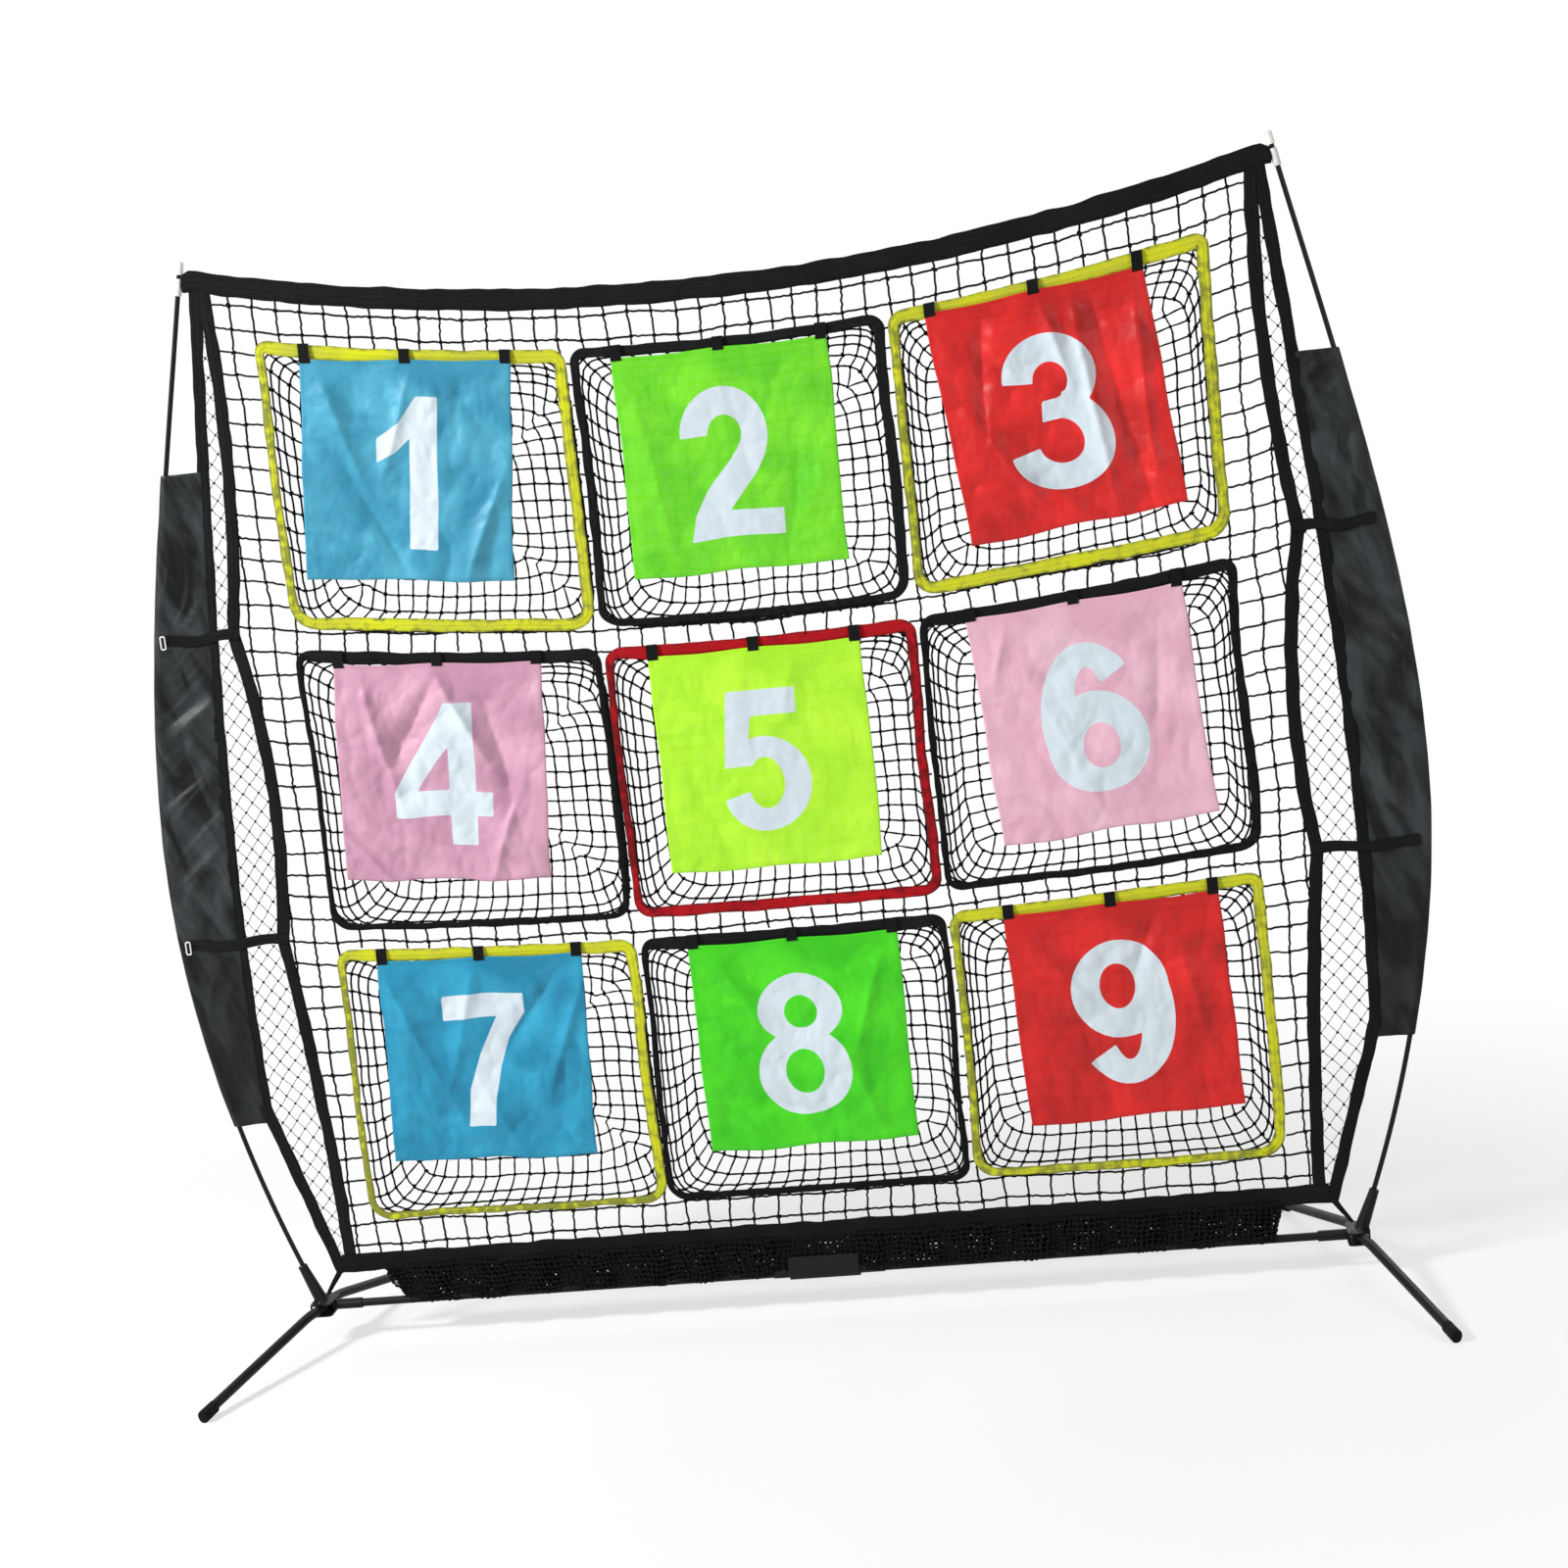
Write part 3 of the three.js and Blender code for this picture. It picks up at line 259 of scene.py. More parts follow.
def webbing_line():
    anchors = [(0.991, BAND_UNDERSIDE), (1.024, STRAP_HEIGHTS[0]), (1.010, STRAP_HEIGHTS[1]),
               (0.962, NET_FOOT)]
    points = []
    for top, foot, bow in zip(anchors, anchors[1:], (0.018, 0.028, 0.008)):
        for t in np.linspace(0, 1, 12)[:-1]:
            x = top[0] + (foot[0] - top[0]) * t - bow * 4 * t * (1 - t)
            points.append((x, top[1] + (foot[1] - top[1]) * t))
    return np.array([*points, anchors[-1]])


def pole_line():
    foot, bow, tip = (1.036, POLE_FOOT), (1.219, 0.965), (1.0285, 2.156)
    lean, nod = math.radians(22), math.radians(12)
    low, high = (bow[1] - foot[1]) / 3, (tip[1] - bow[1]) / 3
    root = (foot[0] + low * math.sin(lean), foot[1] + low * math.cos(lean))
    neck = (tip[0] + high * math.sin(nod), tip[1] - high * math.cos(nod))
    lower = bezier([foot, root, (bow[0], bow[1] - low), bow], 40)
    upper = bezier([bow, (bow[0], bow[1] + high), neck, tip], 50)
    return np.vstack([lower, upper[1:]])


WEBBING_LINE = webbing_line()
POLE_LINE = pole_line()
print("the poles bow out to x =", round(float(max(POLE_LINE[:, 0])), 3))

# %% [markdown]
# ## Cord and webbing
# The nets are tied from braided polyester cord. Its filaments scatter light, so it is matt, and a
# touch of sheen stands for the loose fibres. Webbing is the same yarn, woven flat. Black dye is never
# quite black: the shades below are a little grey and change slowly over the piece.


# %% Braided cord
def braided_cord():
    # The braid repeats every 1 mm, too fine to show from here, so it is drawn 2 mm apart.
    material, add, place, flat = new_material("braided black polyester cord")
    patches = add("TexNoise", {"Vector": place, "Scale": 28, "Detail": 4})
    dye = add("Mix", {0: patches, 6: "#060607", 7: "#141516"}, data_type="RGBA").outputs[2]
    braid = add("TexNoise", {"Vector": place, "Scale": 500, "Detail": 2})
    relief = add("Bump", {"Height": braid, "Distance": 0.0006})
    shader = add("BsdfPrincipled", {"Base Color": dye, "Normal": relief, "Roughness": 0.8,
                                    "Specular IOR Level": 0.08, "Sheen Weight": 0.02})
    add("OutputMaterial", {"Surface": shader})
    return material


CORD = braided_cord()


# %% Webbing and binding tape
def tape_weave(add, flat, spacing):
    """Height of a plain weave on the tape's own UV map, with its ribs so many metres apart."""
    scale = 0.314 / spacing  # at a scale of 0.314 the bands lie a metre apart
    warp = add("TexWave", {"Vector": flat, "Scale": scale}, bands_direction="X")
    weft = add("TexWave", {"Vector": flat, "Scale": scale, "Distortion": 1.5}, bands_direction="Y")
    return add("Math", {0: warp, 1: weft}, operation="MULTIPLY")


def woven_tape(name, clean, worn, edge, sheen):
    # Woven polyester tape in clean and worn shades that change at random, bright where it lies flat.
    # Painted shade darkens it along its edges, where it rolls over away from the light, and more on
    # narrow, rolled stretches, broken up by specks. The ribs are 1.5 mm apart, drawn at 3 mm.
    material, add, place, flat = new_material(name)
    patches = add("TexNoise", {"Vector": place, "Scale": 9, "Detail": 6})
    wear = add("MapRange", {"Value": patches, "From Min": 0.35, "From Max": 0.72})
    faded = add("Mix", {0: wear, 6: clean, 7: worn}, data_type="RGBA").outputs[2]
    specks = add("TexNoise", {"Vector": place, "Scale": 60, "Detail": 2})
    # Painted shade: the stored value grows towards the tape's rolled edges and narrow stretches, and
    # there the colour turns to the edge shade.
    across = add("Attribute", attribute_name="across").outputs["Fac"]
    rim = add("Math", {0: across, 1: specks, 2: -0.42}, operation="MULTIPLY_ADD")
    rolled = add("MapRange", {"Value": rim, "From Min": -0.06, "From Max": 0.15})
    dyed = add("Mix", {0: rolled, 6: faded, 7: edge}, data_type="RGBA").outputs[2]
    puckers = add("TexNoise", {"Vector": place, "Scale": 45, "Detail": 5})
    height = add("Math", {0: tape_weave(add, flat, 0.003), 1: puckers}, operation="ADD")
    relief = add("Bump", {"Height": height, "Distance": 0.0008})
    shader = add("BsdfPrincipled", {"Base Color": dyed, "Normal": relief, "Roughness": 0.66,
                                    "Specular IOR Level": 0.1, "Sheen Weight": sheen})
    add("OutputMaterial", {"Surface": shader})
    return material


# The third colour of each tape is the painted shade of its rolled edges.
WEBBING = woven_tape("woven black webbing", "#070808", "#121314", "#040405", 0.02)
BLACK = woven_tape("black binding tape", "#0B0C0D", "#161719", "#050506", 0.02)
YELLOW = woven_tape("yellow binding tape", "#D0D322", "#B6BA38", "#888D34", 0.05)
RED = woven_tape("dark red binding tape", "#B30E18", "#9A0E18", "#6E0A12", 0.05)
PALE = woven_tape("undyed nylon webbing", "#EDEDEA", "#DCDCD8", "#C9C9C4", 0.1)

# %% [markdown]
# ## Cloth
# The sleeves are polyester oxford with a thin coating, which is why their creases shine; their
# sheen and the shade in their folds are also painted into their colour. The flags are thin dyed
# nylon: smooth and light enough to show a shadow of the net behind them. A crease in such cloth is
# a line where a soft random field passes through its middle value, so the distance from that value
# gives a network of fine lines.


# %% Coated oxford cloth
def creased(add, field):
    """Height of the creases: how far a random field is from its middle value."""
    middle = add("Math", {0: field, 1: 0.5}, operation="SUBTRACT")
    return add("Math", {0: middle}, operation="ABSOLUTE")


def oxford_cloth():
    # Threads 0.5 mm apart, drawn at 2.5 mm. The colour holds painted light: a grey stands for the
    # sheen of the coating where it is stretched smooth, painted shade keeps it nearly black down in the
    # folds, and more painted shade darkens it below the lower straps, where it hangs slack.
    material, add, place, flat = new_material("coated black oxford cloth")
    # A grey that stands for the coating's sheen, lighter and darker in random patches.
    sheen_patches = add("TexNoise", {"Vector": place, "Scale": 11, "Detail": 7, "Roughness": 0.6})
    dye = add("Mix", {0: sheen_patches, 6: "#262A2C", 7: "#3C4042"}, data_type="RGBA").outputs[2]
    pulled = add("Mapping", {"Vector": place, "Rotation": (0, -0.36, 0), "Scale": (0.6, 0.6, 1.8)},
                 vector_type="TEXTURE")
    crumple = add("TexNoise", {"Vector": pulled, "Scale": 14, "Detail": 4, "Roughness": 0.5,
                               "Distortion": 0.5})
    # Painted light and shade: where the crumple field is high the cloth shows the grey sheen, where it is
    # low the near-black shade of the folds.
    fold = add("MapRange", {"Value": crumple, "From Min": 0.38, "From Max": 0.62})
    height = add("SeparateXYZ", {0: place}).outputs["Z"]
    # Painted shade: darker below the lower straps, where the slack cloth faces the floor.
    low_shade = add("MapRange", {"Value": height, "From Min": 0.68, "From Max": 0.86, "To Min": 0.45,
                            "To Max": 1})
    # The share of painted sheen; the rest is the near-black painted shade of the folds.
    smooth = add("Math", {0: fold, 1: low_shade}, operation="MULTIPLY")
    shaded = add("Mix", {0: smooth, 6: "#070808", 7: dye}, data_type="RGBA").outputs[2]
    thread = add("Math", {0: tape_weave(add, flat, 0.0025), 1: 0.01}, operation="MULTIPLY")
    raised = add("Math", {0: creased(add, crumple), 1: thread}, operation="ADD")
    relief = add("Bump", {"Height": raised, "Distance": 0.010, "Strength": 0.45})
    shader = add("BsdfPrincipled", {"Base Color": shaded, "Normal": relief, "Roughness": 0.44,
                                    "Specular IOR Level": 0.2})
    add("OutputMaterial", {"Surface": shader})
    return material


OXFORD = oxford_cloth()

# %% Flag nylon
FLAG_WIDTH = 0.410
FLAGS = {  # length, height of the numeral, crumpling, slot, and the cloth's name, colour and shade
    1: (0.420, 0.290, 0.75, "flag_blue", "sky blue nylon", "#4CA4C0", "#3088A8"),
    2: (0.420, 0.283, 0.50, "flag_green", "bright green nylon", "#78DE1C", "#5ECD12"),
    3: (0.440, 0.296, 1.00, "flag_red", "red nylon", "#E02422", "#BC1614"),
    4: (0.424, 0.284, 1.10, "flag_pink", "pink nylon", "#D4A2B8", "#BD8BA3"),
    5: (0.424, 0.276, 0.40, "flag_lime", "lime nylon", "#BCF62E", "#A8EA20"),
    6: (0.438, 0.286, 0.70, "flag_pink", "pale pink nylon", "#E9BACB", "#DCA7BC"),
    7: (0.406, 0.267, 1.00, "flag_blue", "blue nylon", "#2A9ABF", "#1580A4"),
    8: (0.414, 0.283, 0.75, "flag_green", "green nylon", "#4CDA16", "#37C40C"),
    9: (0.420, 0.282, 0.85, "flag_red", "deep red nylon", "#D9201D", "#BC1512"),
}


def hem_of(add, flat, length):
    """How far a point of the flag lies from its nearest edge, in metres."""
    axes = add("SeparateXYZ", {0: flat})
    gaps = []
    for axis, size in enumerate((FLAG_WIDTH, length)):
        off = add("Math", {0: axes.outputs[axis], 1: size / 2}, operation="SUBTRACT")
        distance = add("Math", {0: off}, operation="ABSOLUTE")
        gaps.append(add("Math", {0: size / 2, 1: distance}, operation="SUBTRACT"))
    return add("Math", {0: gaps[0], 1: gaps[1]}, operation="MINIMUM")


def flag_nylon(name, cloth, shade, length, alpha):
    # Dyed taffeta: smooth, a little glossy, with a turned hem 8 mm wide that lies double and looks
    # darker. The numeral is printed, so it follows every crease; its edge lies where the stored
    # distance passes nought.
    material, add, place, flat = new_material(name)
    field = add("TexNoise", {"Vector": flat, "Scale": 9, "Detail": 4, "Roughness": 0.5,
                             "Distortion": 0.7})
    tone = add("MapRange", {"Value": field, "From Min": 0.36, "From Max": 0.62})
    dyed = add("Mix", {0: tone, 6: shade, 7: cloth}, data_type="RGBA").outputs[2]
    border = hem_of(add, flat, length)
    turned = add("Math", {0: border, 1: 0.008}, operation="LESS_THAN")
    doubled = add("Math", {0: turned, 1: 0.35}, operation="MULTIPLY")
    hemmed = add("Mix", {0: doubled, 6: dyed, 7: shade}, data_type="RGBA").outputs[2]
    edge = add("Attribute", attribute_name="print_distance").outputs["Fac"]
    ink = add("MapRange", {"Value": edge, "From Min": 0.0004, "From Max": -0.0004})
    printed = add("Mix", {0: ink, 6: hemmed, 7: "#D2DEE6"}, data_type="RGBA").outputs[2]
    crumple = add("TexNoise", {"Vector": flat, "Scale": 12, "Detail": 3, "Roughness": 0.45,
                               "Distortion": 1.2})
    stitched = add("Math", {0: border, 1: 0.0075, 2: 0.0008}, operation="COMPARE")
    sunk = add("Math", {0: stitched, 1: -0.05, 2: creased(add, crumple)}, operation="MULTIPLY_ADD")
    relief = add("Bump", {"Height": sunk, "Distance": 0.008, "Strength": 0.38})
    shader = add("BsdfPrincipled", {"Base Color": printed, "Normal": relief, "Roughness": 0.45,
                                    "Alpha": alpha, "Specular IOR Level": 0.3})
    add("OutputMaterial", {"Surface": shader})
    return material


FLAG_CLOTH = {}
for number, (length, _, _, _, *dye) in FLAGS.items():
    FLAG_CLOTH[number] = flag_nylon(*dye, length, alpha=0.86 if number in (2, 5) else 0.92)


# %% Loop tape
def loop_tape():
    # The soft half of hook-and-loop tape: a dense dark grey pile, 2 mm deep, that hides its weave.
    material, add, place, flat = new_material("dark grey loop tape")
    tufts = add("TexNoise", {"Vector": place, "Scale": 260, "Detail": 5})
    dye = add("Mix", {0: tufts, 6: "#111213", 7: "#242628"}, data_type="RGBA").outputs[2]
    relief = add("Bump", {"Height": tufts, "Distance": 0.001})
    shader = add("BsdfPrincipled", {"Base Color": dye, "Normal": relief, "Roughness": 0.9,
                                    "Sheen Weight": 0.08, "Specular IOR Level": 0.1})
    add("OutputMaterial", {"Surface": shader})
    return material


PATCH = loop_tape()

# %% [markdown]
# ## Steel, fibreglass, plastic and rubber
# The rigid pieces are all smooth, so their look lies in how sharp their highlights are: satin powder
# paint on the tubes, a die-drawn gloss on the poles, a dark skin on the rivets, bright plating on the
# buttons, and rubber that hardly shines.


# %% Rigid materials
def moulded(name, light, dark, roughness, spot, depth, metallic=0.0, level=0.5):
    """A smooth solid: two shades in cloudy patches, and a relief of bumps spot metres across."""
    material, add, place, flat = new_material(name)
    clouds = add("TexNoise", {"Vector": place, "Scale": 40, "Detail": 5})
    shade = add("Mix", {0: clouds, 6: dark, 7: light}, data_type="RGBA").outputs[2]
    rough = add("MapRange", {"Value": clouds, "From Min": 0.3, "From Max": 0.7,
                             "To Min": roughness - 0.05, "To Max": roughness + 0.07})
    grain = add("TexNoise", {"Vector": place, "Scale": 1 / spot, "Detail": 3})
    relief = add("Bump", {"Height": grain, "Distance": depth})
    shader = add("BsdfPrincipled", {"Base Color": shade, "Normal": relief, "Roughness": rough,
                                    "Metallic": metallic, "Specular IOR Level": level})
    add("OutputMaterial", {"Surface": shader})
    return material


# Powder paint, with an orange peel 1.5 mm across.
STEEL = moulded("black powder-coated steel", "#111213", "#09090A", 0.42, 0.0015, 0.0001, level=0.18)
# The rivets are black oxide, a thin dark skin on bare steel.
RIVET = moulded("black-oxide steel", "#3A3B3D", "#232425", 0.38, 0.0008, 0.00003, metallic=1.0)
# Zinc plate on the buttons: grey metal, slightly cloudy from the bath.
ZINC = moulded("zinc-plated steel", "#C4C8CA", "#A6AAAD", 0.32, 0.0008, 0.00003, metallic=1.0)
# Pultruded fibreglass: drawn through a die, smooth and dark, with a faint grain of fibres.
ROD = moulded("black pultruded fibreglass", "#111214", "#08090A", 0.38, 0.003, 0.00008, level=0.18)
# Injection-moulded nylon for the pole tips and the strap loops.
CAP = moulded("white moulded nylon", "#EFEFEB", "#DFDFDA", 0.42, 0.001, 0.00005)
# Dipped rubber on the feet.
RUBBER = moulded("black rubber", "#131314", "#0A0A0B", 0.78, 0.0012, 0.00015, level=0.12)
print("materials:", len(bpy.data.materials))

# %% [markdown]
# ## From a mesh to a piece
# A finished piece keeps its place in its mesh, wears one material and rides on a body of the frame.
# Cloth starts as a flat grid, and each of its points is then moved to where the sewn piece has it.
# Tapes, cords and tubes are the same grid rolled round a line.


# %% Finish a piece
def piece(name, bm, material, slot, body="frame_and_net", replaces=(), crease=50):
    if crease < 180:
        for edge in bm.edges:
            edge.smooth = edge.calc_face_angle(0) < math.radians(crease)
    for face in bm.faces:
        face.smooth = True
    mesh = bpy.data.meshes.new(name)
    bm.to_mesh(mesh)
    bm.free()
    mesh.materials.append(material)
    made = bpy.data.objects.new(name, mesh)
    bpy.context.scene.collection.objects.link(made)
    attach(made, body)
    if replaces:
        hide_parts(*replaces)
    return made


def cut_from(made, thickness, **facts):
    """Gives a cloth its thickness; the facts of the sheet that it was cut from are not used."""
    made.modifiers.new("cloth", "SOLIDIFY").thickness = thickness


# %% A flat grid, moved point by point
def grid_of(columns, rows):
    """A flat grid from 0 to 1 both ways, with its own UV map."""
    bm = bmesh.new()
    bm.loops.layers.uv.new("UVMap")
    bmesh.ops.create_grid(bm, x_segments=columns, y_segments=rows, size=0.5, calc_uvs=True)
    bmesh.ops.translate(bm, verts=bm.verts, vec=(0.5, 0.5, 0))
    return bm


def lay(bm, place, size):
    """Moves each point of a unit grid to place(s, t); size is the flat cloth's, for its UV map."""
    uv = bm.loops.layers.uv.active
    for face in bm.faces:
        for loop in face.loops:
            loop[uv].uv = (loop.vert.co.x * size[0], loop.vert.co.y * size[1])
    for vert in bm.verts:
        vert.co = place(vert.co.x, vert.co.y)
    bmesh.ops.recalc_face_normals(bm, faces=bm.faces)
    return bm


# %% A grid rolled round a line
def sweep(path, section, closed=False, sides=14, normal=(0, 1, 0), girth=0.05, narrow_shade=None):
    """A closed skin round a line. section(index, turn, spot) is how far a point stands off the line:
    across it, along the cloth's plane, and out of that plane, along normal. dull, from 0 to 1, adds to
    the stored distance from the line for each of its points."""
    path, normal = [Vector(point) for point in path], Vector(normal)
    count = len(path)
    last = count if closed else count - 1
    runs = [0.0]
    for index in range(last):
        runs.append(runs[-1] + (path[(index + 1) % count] - path[index]).length)
    bm = grid_of(last, sides)
    edge_shade = bm.verts.layers.float.new("across")
    uv = bm.loops.layers.uv.active
    for face in bm.faces:
        for loop in face.loops:
            loop[uv].uv = (runs[round(loop.vert.co.x * last)], loop.vert.co.y * girth)
    for vert in bm.verts:
        index, turn = round(vert.co.x * last), 2 * math.pi * vert.co.y
        spot = path[index % count]
        before = path[(index - 1) % count] if closed or index else spot
        after = path[(index + 1) % count] if closed or index < last else spot
        across = (after - before).normalized().cross(normal).normalized()
        wide, rise = section(index % count, turn, spot)
        # How far the point lies towards the side of the line, with more for narrow stretches; the tape's
        # material paints shade from it.
        vert[edge_shade] = abs(math.cos(turn)) ** 0.45 + (narrow_shade[index % count] if narrow_shade else 0)
        vert.co = spot + across * wide + normal * rise
    bmesh.ops.remove_doubles(bm, verts=bm.verts, dist=1e-6)
    bmesh.ops.holes_fill(bm, edges=[edge for edge in bm.edges if edge.is_boundary], sides=0)
    bmesh.ops.recalc_face_normals(bm, faces=bm.faces)
    return bm


def tape(path, width, thickness, closed=False, wobble=0.0012, seed=0, edge=0):
    """Soft flat tape along a line. width may be a list, a value for each point; with edge=1 the line
    is the tape's outer edge and not its middle. Narrow stretches are rolled, so they are thicker."""
    widths = width if isinstance(width, list) else [width] * len(path)
    widest = max(widths)
    shift = Vector((seed * 3.7, seed * 1.3, 0))

    def section(index, turn, spot):
        wide, tall = math.cos(turn), math.sin(turn)
        half = widths[index] / 2
        thick = thickness / 2 * (widest / widths[index]) ** 0.8
        rough = noise.noise(spot * 22 + shift) * wobble
        ruffle = half + noise.noise(spot * 30 + 2 * shift) * wobble
        out = half * edge + math.copysign(abs(wide) ** 0.45, wide) * ruffle + rough
        rise = math.copysign(abs(tall) ** 0.8, tall) * thick
        return out, rise + noise.noise(spot * 45 - shift) * wobble * 0.5

    # Narrow stretches get more painted shade along their edges.
    return sweep(path, section, closed, girth=2 * widest, narrow_shade=[1.4 * (1 - w / widest) for w in widths])


def rod(path, radius, sides=24, normal=(0, 1, 0), chamfer=0.0006):
    """A round bar along a line. radius may be a list; the rims of its ends are broken by a chamfer."""
    path = [Vector(point) for point in path]
    radii = radius if isinstance(radius, list) else [radius] * len(path)
    first = path[0] + (path[1] - path[0]).normalized() * chamfer
    final = path[-1] + (path[-2] - path[-1]).normalized() * chamfer
    path = [path[0], first, *path[1:-1], final, path[-1]]
    radii = [radii[0] - chamfer, radii[0], *radii[1:-1], radii[-1], radii[-1] - chamfer]

    def section(index, turn, spot):
        return radii[index] * math.cos(turn), radii[index] * math.sin(turn)

    return sweep(path, section, False, sides, normal, girth=6.3 * max(radii))


# %% [markdown]
# ## Knotted netting
# A real net is cord knotted at every crossing. A grid of edges gives the crossings: its faces are
# dropped, each edge gets a slack middle, and the edges become round cords. A small lump at each
# crossing is the knot. Nothing in a net is straight, so the crossings wander a little. Thousands of
# knots are needed, so each has only twenty faces.

# %% Nets from edges
MESH_SIZE = 0.045


def wander(spot, amount, seed):
    return noise.noise_vector(Vector(spot) * 9 + Vector((seed, 0, 0))) * amount


def cords_on_edges(name, bm, cord, sides):
    """Turns the edges of a bmesh to round cords, and gives them back as a new bmesh."""
    drawn = bpy.data.objects.new(name, bpy.data.meshes.new(name))
    bm.to_mesh(drawn.data)
    bm.free()
    bpy.context.scene.collection.objects.link(drawn)
    bpy.ops.object.select_all(action="DESELECT")
    bpy.context.view_layer.objects.active = drawn
    drawn.select_set(True)
    bpy.ops.object.convert(target="CURVE")
    drawn.data.bevel_depth = cord / 2
    drawn.data.bevel_resolution = sides // 2 - 2
    bpy.ops.object.convert(target="MESH")
    cords = bmesh.new()
    cords.from_mesh(drawn.data)
    bpy.data.objects.remove(drawn)
    return cords


def netting(name, bm, keep, place, cord, knot, cuts=1, slack=0.0012, sides=6, seed=1, replaces=()):
    """Cords and knots on the edges of bm. keep(point) says what stays and place(point) hangs it."""
    dice = random.Random(seed)
    bmesh.ops.delete(bm, geom=bm.faces[:], context="FACES_ONLY")
    crossings = [vert.co.copy() for vert in bm.verts]
    tied = set(bm.verts)
    bmesh.ops.subdivide_edges(bm, edges=bm.edges, cuts=cuts)
    for vert in bm.verts:
        if vert not in tied:
            vert.co += Vector([dice.uniform(-slack, slack) for _ in range(3)])
    bmesh.ops.delete(bm, geom=[vert for vert in bm.verts if not keep(vert.co)], context="VERTS")
    for vert in bm.verts:
        vert.co = place(vert.co)
    cords = cords_on_edges(name, bm, cord, sides)
    for spot in crossings:
        if keep(spot):
            turn = Matrix.Rotation(dice.uniform(0, 6.3), 4, Vector((dice.random(), dice.random(), 1)))
            shape = Matrix.Diagonal((dice.uniform(1.0, 1.4), dice.uniform(0.75, 1.05), 0.85, 1))
            lump = Matrix.Translation(place(spot)) @ turn @ shape
            bmesh.ops.create_icosphere(cords, subdivisions=1, radius=knot / 2, matrix=lump)
    made = piece(name, cords, CORD, "net_black", crease=180, replaces=replaces)
    print(name, len(crossings), "crossings,", len(made.data.polygons), "faces")


# %% Where the pockets are cut out of the net
def ring_corners(number):
    """The radii of a ring's upper and lower corners; the heavy yellow tape turns wider below."""
    return RING_CORNER - 0.002, RING_CORNER + (0.014 if RING_TAPE[number] == "yellow" else 0.004)


def outline_distance(number, u, v):
    """How far a flat point lies outside a pocket's outline, less than nought inside it."""
    middle = pocket_middle(number)
    corner = ring_corners(number)[0 if v > middle[1] else 1]
    du = abs(u - middle[0]) - (POCKET[0] / 2 - corner)
    dv = abs(v - middle[1]) - (POCKET[1] / 2 - corner)
    return math.hypot(max(du, 0), max(dv, 0)) + min(max(du, dv), 0) - corner


def ring_bend(number, u, v):
    """Where the net pulls a ring's point to, out of true, fading out towards its top edge."""
    loose = min(max((pocket_middle(number)[1] + POCKET[1] / 2 - v) / 0.15, 0), 1)
    pull = noise.noise_vector(Vector((u * 3.5, v * 3.5, number * 2.9)))
    return u + pull.x * 0.009 * loose, v + pull.y * 0.007 * loose


def pulled_along(u, v):
    """The same pull on the net beside the rings, fading out 40 mm away from each."""
    moved = [u, v]
    for number in NUMBERS:
        share = min(max(1 - outline_distance(number, u, v) / 0.040, 0), 1)
        if share > 0:
            bent = ring_bend(number, u, v)
            moved = [moved[0] + (bent[0] - u) * share, moved[1] + (bent[1] - v) * share]
    return moved


# %% Target net
def target_netting():
    columns, rows = 46, 44
    half = columns * MESH_SIZE / 2
    bm = grid_of(columns, rows)
    for vert in bm.verts:
        flat = Vector((vert.co.x * 2 * half - half, vert.co.y * rows * MESH_SIZE + 0.150, 0.0018))
        drift = wander(flat, 0.009, 4)
        vert.co = flat + Vector((drift.x, drift.y, drift.z * 0.12))

    def keep(p):
        if abs(p.x) > x_at(WEBBING_LINE, p.y) or not NET_FOOT - 0.02 < p.y < BAND_UNDERSIDE + 0.02:
            return False
        return all(outline_distance(number, p.x, p.y) > -0.006 for number in NUMBERS)

    def place(p):
        u, v = pulled_along(p.x, p.y)
        return Vector((u, p.z, hung(u, v)))

    netting("target_netting", bm, keep, place, cord=0.0043, knot=0.0108, cuts=5, seed=2,
            replaces=["target_net"])


target_netting()

# %% [markdown]
# ## Pocket rings
# A wide tape is folded over the raw edge of each opening and stitched down. It runs round a
# rectangle with round corners, lies broad and flat along the top, where the flag hangs, and rolls up
# narrower down the sides. Its line is laid out flat and hung with the net.


# %% Outline of a ring
def rounded_outline(middle, half, radii, step=0.012):
    """Points round a rectangle, counter-clockwise from the right; radii: upper and lower corners."""
    points = []
    for sx, sy, start in [(1, 1, 0), (-1, 1, 90), (-1, -1, 180), (1, -1, 270)]:
        radius = radii[0] if sy > 0 else radii[1]
        for turn in np.radians(np.linspace(start, start + 90, 8)):
            x = middle[0] + sx * (half[0] - radius) + radius * math.cos(turn)
            points.append((x, middle[1] + sy * (half[1] - radius) + radius * math.sin(turn)))
    filled = []
    for here, there in zip(points, points[1:] + points[:1]):
        parts = max(1, round(math.dist(here, there) / step))
        for share in np.arange(parts) / parts:
            filled.append(tuple(a + (b - a) * share for a, b in zip(here, there)))
    return filled


# %% Rings
RING_WIDTHS = {  # top, right, bottom and left
    1: (0.027, 0.022, 0.024, 0.018),
    2: (0.020, 0.020, 0.014, 0.016),
    3: (0.029, 0.022, 0.026, 0.018),
    4: (0.025, 0.013, 0.013, 0.011),
    5: (0.026, 0.019, 0.022, 0.015),
    6: (0.026, 0.017, 0.015, 0.011),
    7: (0.025, 0.021, 0.014, 0.014),
    8: (0.027, 0.012, 0.013, 0.012),
    9: (0.025, 0.021, 0.018, 0.016),
}
RING_FINISH = {"yellow": (YELLOW, "binding_yellow"), "black": (BLACK, "webbing_black"),
               "red": (RED, "binding_red")}


